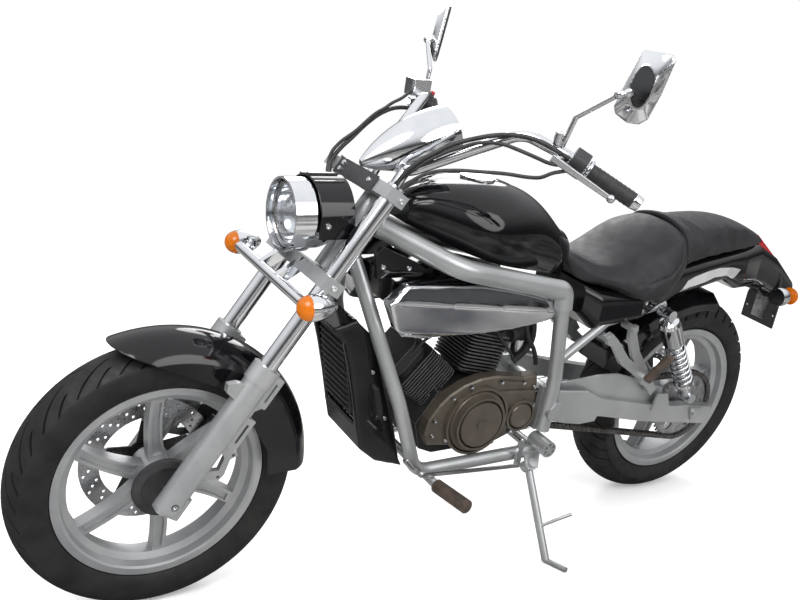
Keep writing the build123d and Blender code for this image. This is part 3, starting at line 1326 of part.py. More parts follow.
# ---------------------------------------------------------------- rear brake
CALIPER_ANGLE = 135  # round the rear axle, from straight back
CALIPER_CLEAR = 5  # from the disc on every side
with BuildPart() as rear_caliper:
    for near, far, inner_r in ((-84, REAR_DISC_X - DISC_T / 2 - CALIPER_CLEAR, 92),
                               (REAR_DISC_X + DISC_T / 2 + CALIPER_CLEAR, -44, 92), (-84, -44, 126)):
        with BuildSketch(Plane.XY.offset(near)):
            with PolarLocations(0, 1, start_angle=CALIPER_ANGLE):
                with Locations(((inner_r + 140) / 2, 0)):
                    RectangleRounded(140 - inner_r, 84, 6)
        extrude(amount=far - near)
with BuildPart() as rear_brake:
    add(REAR_HUB.location * rear_caliper.part)
    # carrier plate down to the arm
    with BuildSketch(across(-112)):
        with BuildLine():
            Polyline((676, 420), (720, 424), (756, 338), (706, 338), close=True)
        make_face()
    extrude(amount=28)
    add(swingarm, mode=Mode.SUBTRACT)
    # pedal that turns on the front cross bar
    add(bar((-182, -156, 278), (-160, -156, 278), 17))
    add(link_plate(-175, SHIFT_T, (-162, 280), (-232, 298), 8))
    add(bar((-226, -232, 298), (-166, -232, 298), 10))
    add(frame_cradle, mode=Mode.SUBTRACT)
keep(rear_brake, "rear_brake")

# ---------------------------------------------------------------- side stand
STAND_KNEE, STAND_TOE = Vector(300, 149, 64.1), Vector(362, 162, 76.1)
STAND_LEG_R, STAND_FOOT_R = 10, 7
TANG_BEND, TANG_TIP = Vector(276, 186, 165), Vector(290, 213, 183)
with BuildPart() as side_stand:
    with BuildSketch(STAND_HINGE.offset(-16)):
        Circle(15)
    extrude(amount=16 + HINGE_PLATE[0] - 0.5)
    add(bar(STAND_PIVOT, STAND_KNEE, STAND_LEG_R))
    with Locations(STAND_KNEE):
        Sphere(STAND_FOOT_R)
    add(bar(STAND_KNEE, STAND_TOE, STAND_FOOT_R))
    # tang for the rider's heel
    add(bar((252, 151, 134), TANG_BEND, 4))
    with Locations(TANG_BEND):
        Sphere(4)
    add(bar(TANG_BEND, TANG_TIP, 4))
    with BuildSketch(STAND_HINGE.offset(-40)):
        Circle(HINGE_BOLT_R + PIN_GAP)
    extrude(amount=80, mode=Mode.SUBTRACT)
    with BuildSketch(STAND_HINGE.offset(HINGE_PLATE[0] - 0.5)):
        Circle(30)
    extrude(amount=40, mode=Mode.SUBTRACT)
keep(side_stand, "side_stand")

# ---------------------------------------------------------------- lean and export
FORK_AXIS = FORK.z_dir
lean = Location((0, 0, 0), (0, LEAN, 0))
leaned = [lean * piece for piece in pieces]
boxes = [piece.bounding_box() for piece in leaned]
low = [min(getattr(box.min, axis) for box in boxes) for axis in "XYZ"]
high = [max(getattr(box.max, axis) for box in boxes) for axis in "XYZ"]
to_row = Location((-(low[0] + high[0]) / 2, -(low[1] + high[1]) / 2, -low[2])) * lean
for piece in pieces:
    node = piece.label
    parked = to_row * piece
    parked.label = node
    export_step(parked, f"parts/{node}.step")

print("row size", [round(b - a, 1) for a, b in zip(low, high)], "lowest", round(low[2], 3))
for name, point, axis in (
    ("front_wheel_spin", FRONT_AXLE, Vector(1, 0, 0)),
    ("rear_wheel_spin", REAR_AXLE, Vector(1, 0, 0)),
    ("steering", HEAD_FOOT, FORK_AXIS),
    ("side_stand_fold", STAND_PIVOT, STAND_AXIS),
):
    place, tip = to_row * Pos(point), to_row * Pos(point + axis)
    print("joint", name, *(round(v, 4) for v in place.position), *(round(v, 6) for v in tip.position - place.position))
plate_bolts = to_row * Pos(0, PLATE_Y + PLATE_T / 2, PLATE_HOLES[0][1])
print("mount plate_bolts", *(round(v, 4) for v in plate_bolts.position), 0.0, 1.0, 0.0)
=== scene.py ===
"""Cruiser motorcycle: its finishes, tread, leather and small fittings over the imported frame."""
import json
from math import atan2, cos, pi, radians, sin

import bmesh
import bpy
from mathutils import Matrix, Vector
from mathutils.bvhtree import BVHTree


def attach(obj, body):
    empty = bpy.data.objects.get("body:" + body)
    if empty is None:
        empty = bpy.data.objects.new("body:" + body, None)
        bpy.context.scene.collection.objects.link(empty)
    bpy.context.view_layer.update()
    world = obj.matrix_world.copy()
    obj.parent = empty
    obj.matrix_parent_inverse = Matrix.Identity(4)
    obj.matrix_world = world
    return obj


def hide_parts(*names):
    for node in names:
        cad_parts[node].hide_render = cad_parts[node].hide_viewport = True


bl_info = {
    "name": "Cruiser motorcycle",
    "version": (1, 0, 0),
    "blender": (4, 5, 0),
    "location": "3D View > Sidebar > Motorcycle",
    "description": "Dresses the frame of a cruiser motorcycle with its finishes and small pieces",
    "category": "Object",
}

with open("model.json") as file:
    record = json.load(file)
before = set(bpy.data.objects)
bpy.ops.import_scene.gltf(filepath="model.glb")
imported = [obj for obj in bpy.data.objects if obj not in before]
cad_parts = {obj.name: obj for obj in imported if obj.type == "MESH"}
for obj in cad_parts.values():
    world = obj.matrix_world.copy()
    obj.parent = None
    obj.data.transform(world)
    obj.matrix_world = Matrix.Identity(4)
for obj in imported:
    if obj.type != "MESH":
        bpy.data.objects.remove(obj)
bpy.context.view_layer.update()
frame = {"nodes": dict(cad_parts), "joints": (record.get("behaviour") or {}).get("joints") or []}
joints = {joint["name"]: joint for joint in frame["joints"]}


# ---------------------------------------------------------------- places, worked out from the frame
def joint_place(name):
    """A joint's point and axis in the row frame."""
    return Vector(joints[name]["pos_m"]), Vector(joints[name]["axis"]).normalized()


front_axle, across = joint_place("front_wheel_spin")
rear_axle = joint_place("rear_wheel_spin")[0]
steering_axis = joint_place("steering_turn")[1]
LEAN = atan2(-across.z, across.x)
WHEELBASE = (rear_axle - front_axle).length
DISC_CARRIER_R, PAINT_EDGE = 0.0985, 0.0005  # black carrier of the brake discs, and its paint's soft edge


def reach(node, middle, axis):
    """How far a node reaches from an axis and along it, each side of the middle."""
    out, along = 0.0, 0.0
    for vertex in frame["nodes"][node].data.vertices:
        offset = vertex.co - middle
        side = offset.dot(axis)
        along = max(along, abs(side))
        out = max(out, (offset - side * axis).length)
    return out, along


FRONT_TYRE_R, FRONT_TYRE_HALF = reach("front_tyre", front_axle, across)
REAR_TYRE_R, REAR_TYRE_HALF = reach("rear_tyre", rear_axle, across)

# The upright motorcycle: x to the rider's left, y to the rear, z up, origin on the ground
# half-way between the axles.
UPRIGHT = (
    Matrix.Translation(front_axle)
    @ Matrix.Rotation(LEAN, 4, "Y")
    @ Matrix.Translation((0, WHEELBASE / 2, -FRONT_TYRE_R))
)


def wheel_frame(middle):
    """A wheel's own frame: x to the rear, y up, z along the axle to the left."""
    turn = Matrix(((0, 0, 1), (1, 0, 0), (0, 1, 0))).to_4x4()
    return Matrix.Translation(middle) @ Matrix.Rotation(LEAN, 4, "Y") @ turn


# ---------------------------------------------------------------- what a user may change
class MotorcycleSizes(bpy.types.PropertyGroup):
    """Sizes of the tread, leather and light."""

    tread_pitches: bpy.props.IntProperty(
        name="Tread pitches", description="Repeats of the tread pattern round a tyre", default=20, min=12,
        max=60,
    )
    groove_depth: bpy.props.FloatProperty(
        name="Groove depth", description="Depth of the tread grooves", default=0.005, unit="LENGTH"
    )
    pad_voxel: bpy.props.FloatProperty(
        name="Pad grid", description="Grid of the seats before they swell", default=0.006, unit="LENGTH"
    )
    key_power: bpy.props.FloatProperty(
        name="Key light", description="Power of the main soft light", default=90.0, unit="POWER"
    )


class MotorcycleColours(bpy.types.PropertyGroup):
    """Colours of the finishes."""

    silver: bpy.props.FloatVectorProperty(
        name="Silver paint", description="Frame, side stand and swingarm", subtype="COLOR",
        default=(0.46, 0.47, 0.475),
    )
    black: bpy.props.FloatVectorProperty(
        name="Gloss black", description="Tank, fender and cowls", subtype="COLOR",
        default=(0.0025, 0.0025, 0.003),
    )
    bronze: bpy.props.FloatVectorProperty(
        name="Engine covers", description="Bronze-grey paint of the covers", subtype="COLOR",
        default=(0.125, 0.108, 0.086),
    )
    leather: bpy.props.FloatVectorProperty(
        name="Leather", description="Saddle and pillion", subtype="COLOR", default=(0.013, 0.013, 0.0145)
    )
    amber: bpy.props.FloatVectorProperty(
        name="Amber", description="Indicator lenses", subtype="COLOR", default=(0.80, 0.20, 0.006)
    )


def sizes():
    """The sizes that the sidebar shows."""
    return bpy.context.scene.motorcycle_sizes


def colours():
    """The colours that the sidebar shows."""
    return bpy.context.scene.motorcycle_colours


# ---------------------------------------------------------------- materials
def colour_mix(nodes, links, first, second, factor):
    """A colour that goes from a first to a second one with a factor; each is a colour or a socket."""
    mix = nodes.new("ShaderNodeMix")
    mix.data_type = "RGBA"
    for socket, colour in (("A", first), ("B", second)):
        if isinstance(colour, bpy.types.NodeSocket):
            links.new(colour, mix.inputs[socket])
        else:
            mix.inputs[socket].default_value = (*colour, 1)
    links.new(factor, mix.inputs["Factor"])
    return mix.outputs["Result"]


class Finish:
    """A material whose nodes read the piece's own place, in metres."""

    def __init__(self, name, colour, metallic=0.0, roughness=0.5, **sockets):
        self.material = bpy.data.materials.new(name)
        self.material.use_nodes = True
        self.nodes = self.material.node_tree.nodes
        self.links = self.material.node_tree.links
        self.shader = self.nodes["Principled BSDF"]
        self.colour = colour
        self.shader.inputs["Base Color"].default_value = (*colour, 1)
        self.shader.inputs["Metallic"].default_value = metallic
        self.shader.inputs["Roughness"].default_value = roughness
        for socket, value in sockets.items():
            self.shader.inputs[socket.replace("_", " ")].default_value = value
        self.place = self.nodes.new("ShaderNodeTexCoord").outputs["Object"]

    def stretched(self, stretch, turn=(0, 0, 0)):
        """The piece's coordinates, scaled and turned."""
        mapping = self.nodes.new("ShaderNodeMapping")
        mapping.inputs["Scale"].default_value = stretch
        mapping.inputs["Rotation"].default_value = turn
        self.links.new(self.place, mapping.inputs["Vector"])
        return mapping.outputs["Vector"]

    def noise(self, scale, detail=4.0, place=None):
        """Cloudy noise of a given scale, per metre."""
        texture = self.nodes.new("ShaderNodeTexNoise")
        texture.inputs["Scale"].default_value = scale
        texture.inputs["Detail"].default_value = detail
        self.links.new(place or self.place, texture.inputs["Vector"])
        return texture.outputs["Fac"]

    def cells(self, scale, place=None):
        """Distance from the middle of irregular cells."""
        texture = self.nodes.new("ShaderNodeTexVoronoi")
        texture.inputs["Scale"].default_value = scale
        self.links.new(place or self.place, texture.inputs["Vector"])
        return texture.outputs["Distance"]

    def spread(self, value, low, high, new_low, new_high):
        """A value moved from one range to another, and kept in it."""
        ramp = self.nodes.new("ShaderNodeMapRange")
        limits = {"From Min": low, "From Max": high, "To Min": new_low, "To Max": new_high}
        for socket, number in limits.items():
            ramp.inputs[socket].default_value = number
        self.links.new(value, ramp.inputs["Value"])
        return ramp.outputs["Result"]

    def tint(self, value, second, low=0.35, high=0.65):
        """Base colour that goes from the finish's own to a second one with a value."""
        return self.colour_by(self.colour, second, self.spread(value, low, high, 0, 1))

    def colour_by(self, first, second, factor):
        """Base colour that goes from a first to a second one with a factor."""
        colour = colour_mix(self.nodes, self.links, first, second, factor)
        self.links.new(colour, self.shader.inputs["Base Color"])
        return self

    def sheen_spots(self, value, smooth, rough, low=0.3, high=0.7):
        """Roughness that varies with a value."""
        self.links.new(self.spread(value, low, high, smooth, rough), self.shader.inputs["Roughness"])
        return self

    def softened_normal(self, radius):
        """The surface's direction with its edges rounded by a radius, in metres."""
        bevel = self.nodes.new("ShaderNodeBevel")
        bevel.samples = 4
        bevel.inputs["Radius"].default_value = radius
        return bevel.outputs["Normal"]

    def rounded(self, radius):
        """Sharp edges catch the light as if rounded by a radius, in metres."""
        self.links.new(self.softened_normal(radius), self.shader.inputs["Normal"])
        return self

    def vector(self, operation, first, second=None):
        """The outputs of a vector operation on a socket and a second socket or constant."""
        maths = self.nodes.new("ShaderNodeVectorMath")
        maths.operation = operation
        self.links.new(first, maths.inputs[0])
        if isinstance(second, bpy.types.NodeSocket):
            self.links.new(second, maths.inputs[1])
        elif second is not None:
            maths.inputs[1].default_value = second
        return maths.outputs

    def edges(self, radius):
        """1 on sharp edges and 0 on flat faces, within a radius in metres."""
        flat = self.nodes.new("ShaderNodeNewGeometry").outputs["Normal"]
        agree = self.vector("DOT_PRODUCT", self.softened_normal(radius), flat)["Value"]
        return self.spread(agree, 0.998, 0.92, 0, 1)

    def relief(self, value, depth, strength=1.0):
        """Surface relief of a given depth in metres."""
        bump = self.nodes.new("ShaderNodeBump")
        bump.inputs["Strength"].default_value = strength
        bump.inputs["Distance"].default_value = depth
        self.links.new(value, bump.inputs["Height"])
        if self.shader.inputs["Normal"].is_linked:
            self.links.new(self.shader.inputs["Normal"].links[0].from_socket, bump.inputs["Normal"])
        self.links.new(bump.outputs["Normal"], self.shader.inputs["Normal"])
        return self


def darker(colour, share):
    """A colour scaled down."""
    return tuple(part * share for part in colour)


def silver_paint():
    """Metallic paint on tubes: fine flake under a thin lacquer."""
    finish = Finish("silver_paint", colours().silver, metallic=0.75, roughness=0.32, Coat_Weight=0.35,
                    Coat_Roughness=0.12)
    finish.tint(finish.noise(9, 3), darker(colours().silver, 0.86))
    finish.sheen_spots(finish.noise(1400, 1), 0.30, 0.44)
    return finish.relief(finish.noise(900, 2), 0.00004, 0.35).material


def cast_silver():
    """Painted casting, as on wheels and fork legs: a slight grain under the paint."""
    finish = Finish("cast_silver", (0.47, 0.475, 0.48), metallic=0.7, roughness=0.4, Coat_Weight=0.2,
                    Coat_Roughness=0.2)
    finish.tint(finish.noise(14, 4), (0.39, 0.40, 0.41))
    finish.sheen_spots(finish.noise(700, 2), 0.34, 0.5)
    return finish.relief(finish.noise(520, 3), 0.00009, 0.45).material


def polished_alloy():
    """Polished and lightly brushed aluminium."""
    finish = Finish("polished_alloy", (0.74, 0.75, 0.76), metallic=1.0, roughness=0.24)
    brushed = finish.stretched((30, 420, 420))
    finish.tint(finish.noise(1, 3, brushed), (0.62, 0.63, 0.65))
    finish.sheen_spots(finish.noise(6, 3), 0.18, 0.32)
    return finish.relief(finish.noise(2, 2, brushed), 0.00003, 0.4).material


def chrome():
    """Chrome plate with faint smudges."""
    finish = Finish("chrome", (0.83, 0.84, 0.86), metallic=1.0, roughness=0.05)
    finish.tint(finish.noise(22, 4), (0.76, 0.775, 0.80))
    finish.sheen_spots(finish.noise(35, 5), 0.03, 0.11)
    return finish.relief(finish.noise(28, 2), 0.00005, 0.25).material


def steel():
    """Ground steel with turning marks and a little oil."""
    finish = Finish("steel", (0.50, 0.50, 0.51), metallic=1.0, roughness=0.34)
    finish.tint(finish.noise(60, 5), (0.33, 0.33, 0.34))
    return finish.sheen_spots(finish.noise(240, 3), 0.24, 0.46).material


def brake_disc(name, middle):
    """Steel disc whose carrier, round the middle, is black paint."""
    bare, painted = (0.55, 0.55, 0.56), (0.02, 0.02, 0.021)
    finish = Finish(name, bare, metallic=1.0, roughness=0.3)
    offset = finish.vector("SUBTRACT", finish.place, middle)["Vector"]
    lever = finish.vector("CROSS_PRODUCT", offset, across)["Vector"]
    radius = finish.vector("LENGTH", lever)["Value"]
    share = finish.spread(radius, DISC_CARRIER_R, DISC_CARRIER_R + PAINT_EDGE, 0, 1)
    finish.colour_by(painted, bare, share)
    finish.links.new(share, finish.shader.inputs["Metallic"])
    return finish.sheen_spots(finish.noise(240, 3), 0.2, 0.42).material


def front_disc():
    """The front brake's disc."""
    return brake_disc("front_disc", front_axle)


def rear_disc():
    """The rear brake's disc."""
    return brake_disc("rear_disc", rear_axle)


def dark_steel():
    """Oiled chain steel."""
    finish = Finish("dark_steel", (0.16, 0.155, 0.15), metallic=0.9, roughness=0.4)
    finish.tint(finish.noise(90, 5), (0.06, 0.055, 0.05))
    return finish.sheen_spots(finish.noise(300, 3), 0.28, 0.55).material


def band_silver():
    """Silver lacquer of the tail's band."""
    finish = Finish("band_silver", (0.78, 0.79, 0.80), metallic=0.7, roughness=0.2, Coat_Weight=0.5,
                    Coat_Roughness=0.05)
    finish.tint(finish.noise(12, 3), (0.70, 0.71, 0.73))
    return finish.sheen_spots(finish.noise(50, 3), 0.16, 0.26).material


def gloss_black():
    """Black lacquer, deep and smooth, with the faintest orange peel."""
    finish = Finish("gloss_black", colours().black, roughness=0.07, IOR=1.5).rounded(0.003)
    finish.tint(finish.noise(5, 3), darker(colours().black, 1.8))
    finish.sheen_spots(finish.noise(40, 4), 0.05, 0.10)
    return finish.relief(finish.noise(170, 2), 0.00003, 0.2).material


def matte_black():
    """Moulded black plastic with a fine grain."""
    finish = Finish("matte_black", (0.022, 0.022, 0.024), roughness=0.52)
    finish.tint(finish.noise(25, 4), (0.034, 0.034, 0.036))
    finish.sheen_spots(finish.noise(80, 4), 0.42, 0.62)
    return finish.relief(finish.cells(1900), 0.00008, 0.4).material


def engine_black():
    """Heat-proof black paint on a sand casting, with a painted highlight in pale grey on the edges of the
    fins.
    """
    finish = Finish("engine_black", (0.020, 0.020, 0.021), metallic=0.25, roughness=0.5)
    # painted highlight: sharp fin edges tinted pale grey as if catching the light
    finish.tint(finish.edges(0.0014), (0.30, 0.295, 0.29), 0.1, 0.9)
    finish.sheen_spots(finish.noise(160, 3), 0.38, 0.62)
    return finish.relief(finish.noise(650, 3), 0.00018, 0.6).material


def bronze_paint():
    """Bronze-grey satin paint of the engine's side covers."""
    finish = Finish("bronze_paint", colours().bronze, metallic=0.55, roughness=0.36, Coat_Weight=0.25,
                    Coat_Roughness=0.2)
    finish.tint(finish.noise(18, 4), darker(colours().bronze, 0.78))
    finish.sheen_spots(finish.noise(220, 3), 0.30, 0.46)
    return finish.relief(finish.noise(800, 3), 0.00007, 0.5).material


def tyre_rubber():
    """Road tyre rubber, a little dusty."""
    finish = Finish("tyre_rubber", (0.009, 0.009, 0.0095), roughness=0.6, Specular_IOR_Level=0.3)
    finish.tint(finish.noise(16, 5), (0.017, 0.0165, 0.016))
    finish.sheen_spots(finish.noise(60, 4), 0.5, 0.72)
    return finish.relief(finish.noise(700, 3), 0.00012, 0.5).material


def soft_rubber():
    """Moulded rubber of grips, pegs and hoses."""
    finish = Finish("soft_rubber", (0.014, 0.014, 0.015), roughness=0.55)
    finish.tint(finish.noise(50, 4), (0.026, 0.026, 0.027))
    return finish.relief(finish.noise(900, 2), 0.0001, 0.5).material


def peg_rubber():
    """Scuffed brown-black rubber of the rider's pegs."""
    finish = Finish("peg_rubber", (0.075, 0.050, 0.036), roughness=0.7)
    finish.tint(finish.noise(60, 5), (0.035, 0.027, 0.022))
    return finish.relief(finish.noise(500, 3), 0.0003, 0.6).material


def leather():
    """Black grained leather with a low sheen."""
    finish = Finish("leather", colours().leather, roughness=0.5, Specular_IOR_Level=0.3, Sheen_Weight=0.03,
                    Sheen_Roughness=0.5)
    finish.tint(finish.noise(20, 4), darker(colours().leather, 1.6))
    finish.sheen_spots(finish.noise(45, 4), 0.44, 0.6)
    finish.relief(finish.cells(620), 0.00035, 0.5)
    return finish.relief(finish.noise(170, 3), 0.0004, 0.3).material


def red_plastic():
    """Red plastic of the stop button."""
    finish = Finish("red_plastic", (0.50, 0.012, 0.014), roughness=0.35)
    return finish.tint(finish.noise(60, 3), (0.42, 0.01, 0.012)).material


def lens(name, colour, weight, roughness):
    """Coloured or clear lamp lens, moulded with fine ribs."""
    finish = Finish(name, colour, roughness=roughness, Transmission_Weight=weight, IOR=1.46)
    return finish.relief(finish.noise(90, 2), 0.0002, 0.25).material


def amber_lens():
    """Amber indicator lens."""
    return lens("amber_lens", colours().amber, 0.35, 0.12)


def red_lens():
    """Red tail lens."""
    return lens("red_lens", (0.45, 0.008, 0.012), 0.25, 0.12)


def clear_lens():
    """Clear headlight glass."""
    return lens("clear_lens", (0.96, 0.98, 1.0), 0.96, 0.02)


# finish of each node of the frame, also of the nodes that a made piece replaces
NODE_FINISHES = {
    silver_paint: ["frame_upper_tubes", "frame_cradle", "frame_rear_tubes", "swingarm", "side_stand",
                   "passenger_peg_brackets"],
    cast_silver: ["front_wheel", "rear_wheel", "fork_lowers", "triple_clamps"],
    polished_alloy: ["levers", "shift_linkage", "front_axle", "rear_axle"],
    chrome: ["fork_tubes", "indicator_bar", "headlight_shell", "instrument_pod", "handlebar", "mirrors",
             "filler_cap", "air_covers", "exhaust", "shocks", "rear_indicator_shells"],
    steel: ["rear_sprocket"],
    front_disc: ["front_brake_disc"],
    rear_disc: ["rear_brake_disc"],
    dark_steel: ["chain"],
    gloss_black: ["headlight_cowl", "front_fender", "fuel_tank", "radiator_cowl", "tail_cowl", "airbox"],
    matte_black: ["front_hub_cover", "switchgear", "front_caliper", "rear_brake", "radiator",
                  "plate_bracket"],
    engine_black: ["crankcase", "cylinders"],
    bronze_paint: ["engine_covers"],
    tyre_rubber: ["front_tyre", "rear_tyre"],
    soft_rubber: ["grips", "control_cables"],
    peg_rubber: ["foot_pegs"],
    leather: ["saddle", "pillion_seat"],
    amber_lens: ["front_indicator_lenses", "rear_indicator_lenses"],
    red_lens: ["taillight"],
    clear_lens: ["headlight_lens"],
}
made_finishes = {}


def finish_of(recipe):
    """The material of a recipe, made once."""
    if recipe not in made_finishes:
        made_finishes[recipe] = recipe()
    return made_finishes[recipe]


# ---------------------------------------------------------------- mesh helpers
NODE_MERGE, PIECE_MERGE = 0.0001, 0.00001  # points this near become one, in a node's copy and in a made mesh
SHARP = radians(35)  # edges that turn by more stay crisp


def in_scene(name, data):
    """A mesh or curve as an object of the scene."""
    piece = bpy.data.objects.new(name, data)
    bpy.context.scene.collection.objects.link(piece)
    return piece


def made(name, work):
    """Work turned into an object of the scene, and cleared away."""
    mesh = bpy.data.meshes.new(name)
    work.to_mesh(mesh)
    work.free()
    return in_scene(name, mesh)


def coat(piece, recipe):
    """Shades a piece smooth, with one finish all over."""
    for polygon in piece.data.polygons:
        polygon.use_smooth = True
    piece.data.materials.clear()
    piece.data.materials.append(finish_of(recipe))


def new_piece(name, work, body, recipe):
    """Finished work as a smooth piece in the row frame, riding on a body."""
    bmesh.ops.remove_doubles(work, verts=work.verts, dist=PIECE_MERGE)
    bmesh.ops.recalc_face_normals(work, faces=work.faces)
    piece = made(name, work)
    coat(piece, recipe)
    piece.data.set_sharp_from_angle(angle=SHARP)
    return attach(piece, body)


def node_copy(name, node):
    """A node's form as an object of its own, its points joined."""
    work = bmesh.new()
    work.from_mesh(frame["nodes"][node].data)
    bmesh.ops.remove_doubles(work, verts=work.verts, dist=NODE_MERGE)
    bmesh.ops.recalc_face_normals(work, faces=work.faces)
    return made(name, work)


def voxel_grid(piece, voxel):
    """Lays an even grid of a given size over a piece."""
    remesh = piece.modifiers.new("grid", "REMESH")
    remesh.mode = "VOXEL"
    remesh.voxel_size = voxel


def ease(piece, rounds):
    """Smooths a piece's form, in rounds."""
    piece.modifiers.new("ease", "SMOOTH").iterations = rounds


def bake(piece):
    """Turns a piece's modifiers into its mesh."""
    seen = piece.evaluated_get(bpy.context.evaluated_depsgraph_get())
    mesh = bpy.data.meshes.new_from_object(seen)
    piece.modifiers.clear()
    piece.data = mesh


def slab(work, matrix, radius, segments):
    """A box of a given place and size, its edges rounded."""
    box = bmesh.ops.create_cube(work, size=1, matrix=matrix)
    edges = {edge for vertex in box["verts"] for edge in vertex.link_edges}
    bmesh.ops.bevel(work, geom=list(edges), offset=radius, segments=segments, profile=0.5, affect="EDGES",
                    material=-1)


def chain_of_edges(work, points):
    """Vertices joined in a closed ring by edges, ready to spin or extrude."""
    ring = [work.verts.new(point) for point in points]
    for near, far in zip(ring, ring[1:] + ring[:1]):
        work.edges.new((near, far))
    return ring


# ---------------------------------------------------------------- tyres
STEPS_PER_PITCH = 10
GROOVE_SWEEP, GROOVE_CURL = radians(21), 0.8  # how far a groove runs round the tyre from crown to shoulder
# share of the half width where grooves begin and end, their step in the pitch, and their side
GROOVES = [(0.10, 0.86, 0, 1), (0.10, 0.86, 5, -1), (0.50, 0.92, 5, 1), (0.50, 0.92, 0, -1)]
GROOVE_WALL = 0.0012  # how far a groove's sides lean in
TREAD_BAND = 0.05  # depth of the band, from the crown, that can carry grooves
# section of both tyres
CROWN_R = 0.075
FLANGE_R, BEAD_HALF, BEAD_DEPTH = 0.2295, 0.036, 0.011
SHOULDER_IN = 0.008  # how far the shoulder lies inside the widest place
WALL_FOOT = 0.041  # half width of the side walls at the rim's flange
CROWN_STEPS, WALL_STEPS = 12, 9


def sweep_back(side, half):
    """How far round the tyre the tread has turned at a distance from the crown."""
    return GROOVE_SWEEP * min(1, abs(side) / half) ** GROOVE_CURL


def tyre_section(radius, half):
    """Half section of a tyre from crown to bead as (radius, side) pairs."""
    points = []
    shoulder = half - SHOULDER_IN
    for i in range(CROWN_STEPS + 1):
        side = shoulder * i / CROWN_STEPS
        points.append((radius - CROWN_R + (CROWN_R**2 - side**2) ** 0.5, side))
    shoulder_r = points[-1][0]
    middle = (shoulder_r + FLANGE_R) / 2
    for i in range(1, WALL_STEPS):
        share = i / WALL_STEPS
        points.append((middle + cos(share * pi) * (shoulder_r - FLANGE_R) / 2,
                       shoulder + SHOULDER_IN * sin(share * pi) - (shoulder - WALL_FOOT) * share**2.4))
    return points + [(FLANGE_R, BEAD_HALF), (FLANGE_R - BEAD_DEPTH, BEAD_HALF)]


def tyre(name, node, body, middle, radius, half):
    """A tyre with cut tread, spun from its section, which is skewed so that the grooves sweep back."""
    steps = sizes().tread_pitches * STEPS_PER_PITCH
    section = tyre_section(radius, half)
    work = bmesh.new()
    skewed = []
    for r, side in section[::-1] + [(r, -side) for r, side in section[1:]]:
        turn = sweep_back(side, half)
        skewed.append((r * cos(turn), r * sin(turn), side))
    ring = chain_of_edges(work, skewed)
    bmesh.ops.spin(work, geom=ring + work.edges[:], cent=(0, 0, 0), axis=(0, 0, 1), angle=2 * pi, steps=steps,
                   use_merge=True)
    bmesh.ops.recalc_face_normals(work, faces=work.faces)
    grooves = []
    for face in work.faces:
        spot = face.calc_center_median()
        share = abs(spot.z) / half
        if spot.xy.length < radius - TREAD_BAND:
            continue
        turn = atan2(spot.y, spot.x) - sweep_back(spot.z, half)
        place = int((turn % (2 * pi)) / (2 * pi / steps)) % STEPS_PER_PITCH
        for start, end, wanted, side in GROOVES:
            if start < share < end and place == wanted and spot.z * side > 0:
                grooves.append(face)
    bmesh.ops.inset_region(work, faces=grooves, thickness=GROOVE_WALL, depth=-sizes().groove_depth,
                           use_even_offset=True)
    bmesh.ops.transform(work, matrix=wheel_frame(middle), verts=work.verts)
    piece = new_piece(name, work, body, tyre_rubber)
    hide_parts(node)
    return piece


class MOTORCYCLE_OT_tyres(bpy.types.Operator):
    """Both tyres with their tread"""

    bl_idname = "motorcycle.tyres"
    bl_label = "Tyres"

    def execute(self, context):
        tyre("front_tread_tyre", "front_tyre", "front_wheel", front_axle, FRONT_TYRE_R, FRONT_TYRE_HALF)
        tyre("rear_tread_tyre", "rear_tyre", "rear_wheel", rear_axle, REAR_TYRE_R, REAR_TYRE_HALF)
        return {"FINISHED"}


class MOTORCYCLE_OT_finishes(bpy.types.Operator):
    """Finishes of the pieces that come from the frame"""

    bl_idname = "motorcycle.finishes"
    bl_label = "Finishes"

    def execute(self, context):
        for recipe, nodes in NODE_FINISHES.items():
            for node in nodes:
                piece = frame["nodes"][node]
                piece.data.materials.clear()
                piece.data.materials.append(finish_of(recipe))
        return {"FINISHED"}


# ---------------------------------------------------------------- seats
SEAT_INSET = 0.004  # how much smaller a pad starts than its solid
SEAT_CAP = 0.008  # how far its skin may move as it swells
SEAT_PRESSURE, SWELL_FRAMES = 4, 20
SEAM_DEPTH, SEAM_HALF = 0.0035, 0.007
PLEAT_DEPTH, PLEAT_HALF = 0.004, 0.006
PLEAT_BOW = 1.6  # a pleat's run to the rear for its distance from the middle, squared
PLEAT_LOW, PLEAT_REACH = 0.80, 0.085  # pleats lie above this height, out to this side
PILLION_PLEATS = (0.625, 0.640, 0.655)
# seam between the saddle's top and its skirt, in the upright frame, on the left
SADDLE_SEAM = [(0.045, 0.262, 0.800), (0.100, 0.285, 0.770), (0.134, 0.330, 0.745), (0.153, 0.390, 0.742),
               (0.158, 0.450, 0.748), (0.157, 0.510, 0.766), (0.146, 0.553, 0.800), (0.120, 0.572, 0.848)]
PILLION_SEAM = [(0.114, 0.612, 0.812), (0.110, 0.700, 0.818), (0.097, 0.840, 0.822), (0.083, 0.925, 0.818),
                (0.060, 0.985, 0.812)]


def pad(name, node, seams, pleats=()):
    """A stuffed seat grown from its solid: swollen by a cloth simulation, then sewn."""
    seat = node_copy(name, node)
    voxel_grid(seat, sizes().pad_voxel)
    shrink = seat.modifiers.new("start", "DISPLACE")
    shrink.mid_level = 0
    shrink.strength = -SEAT_INSET
    ease(seat, 4)
    bake(seat)
    swell(seat)
    finer = seat.modifiers.new("finer", "SUBSURF")
    finer.levels = finer.render_levels = 1
    bake(seat)
    sew(seat, seams, pleats)
    coat(seat, leather)
    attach(seat, "frame")
    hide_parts(node)
    return seat


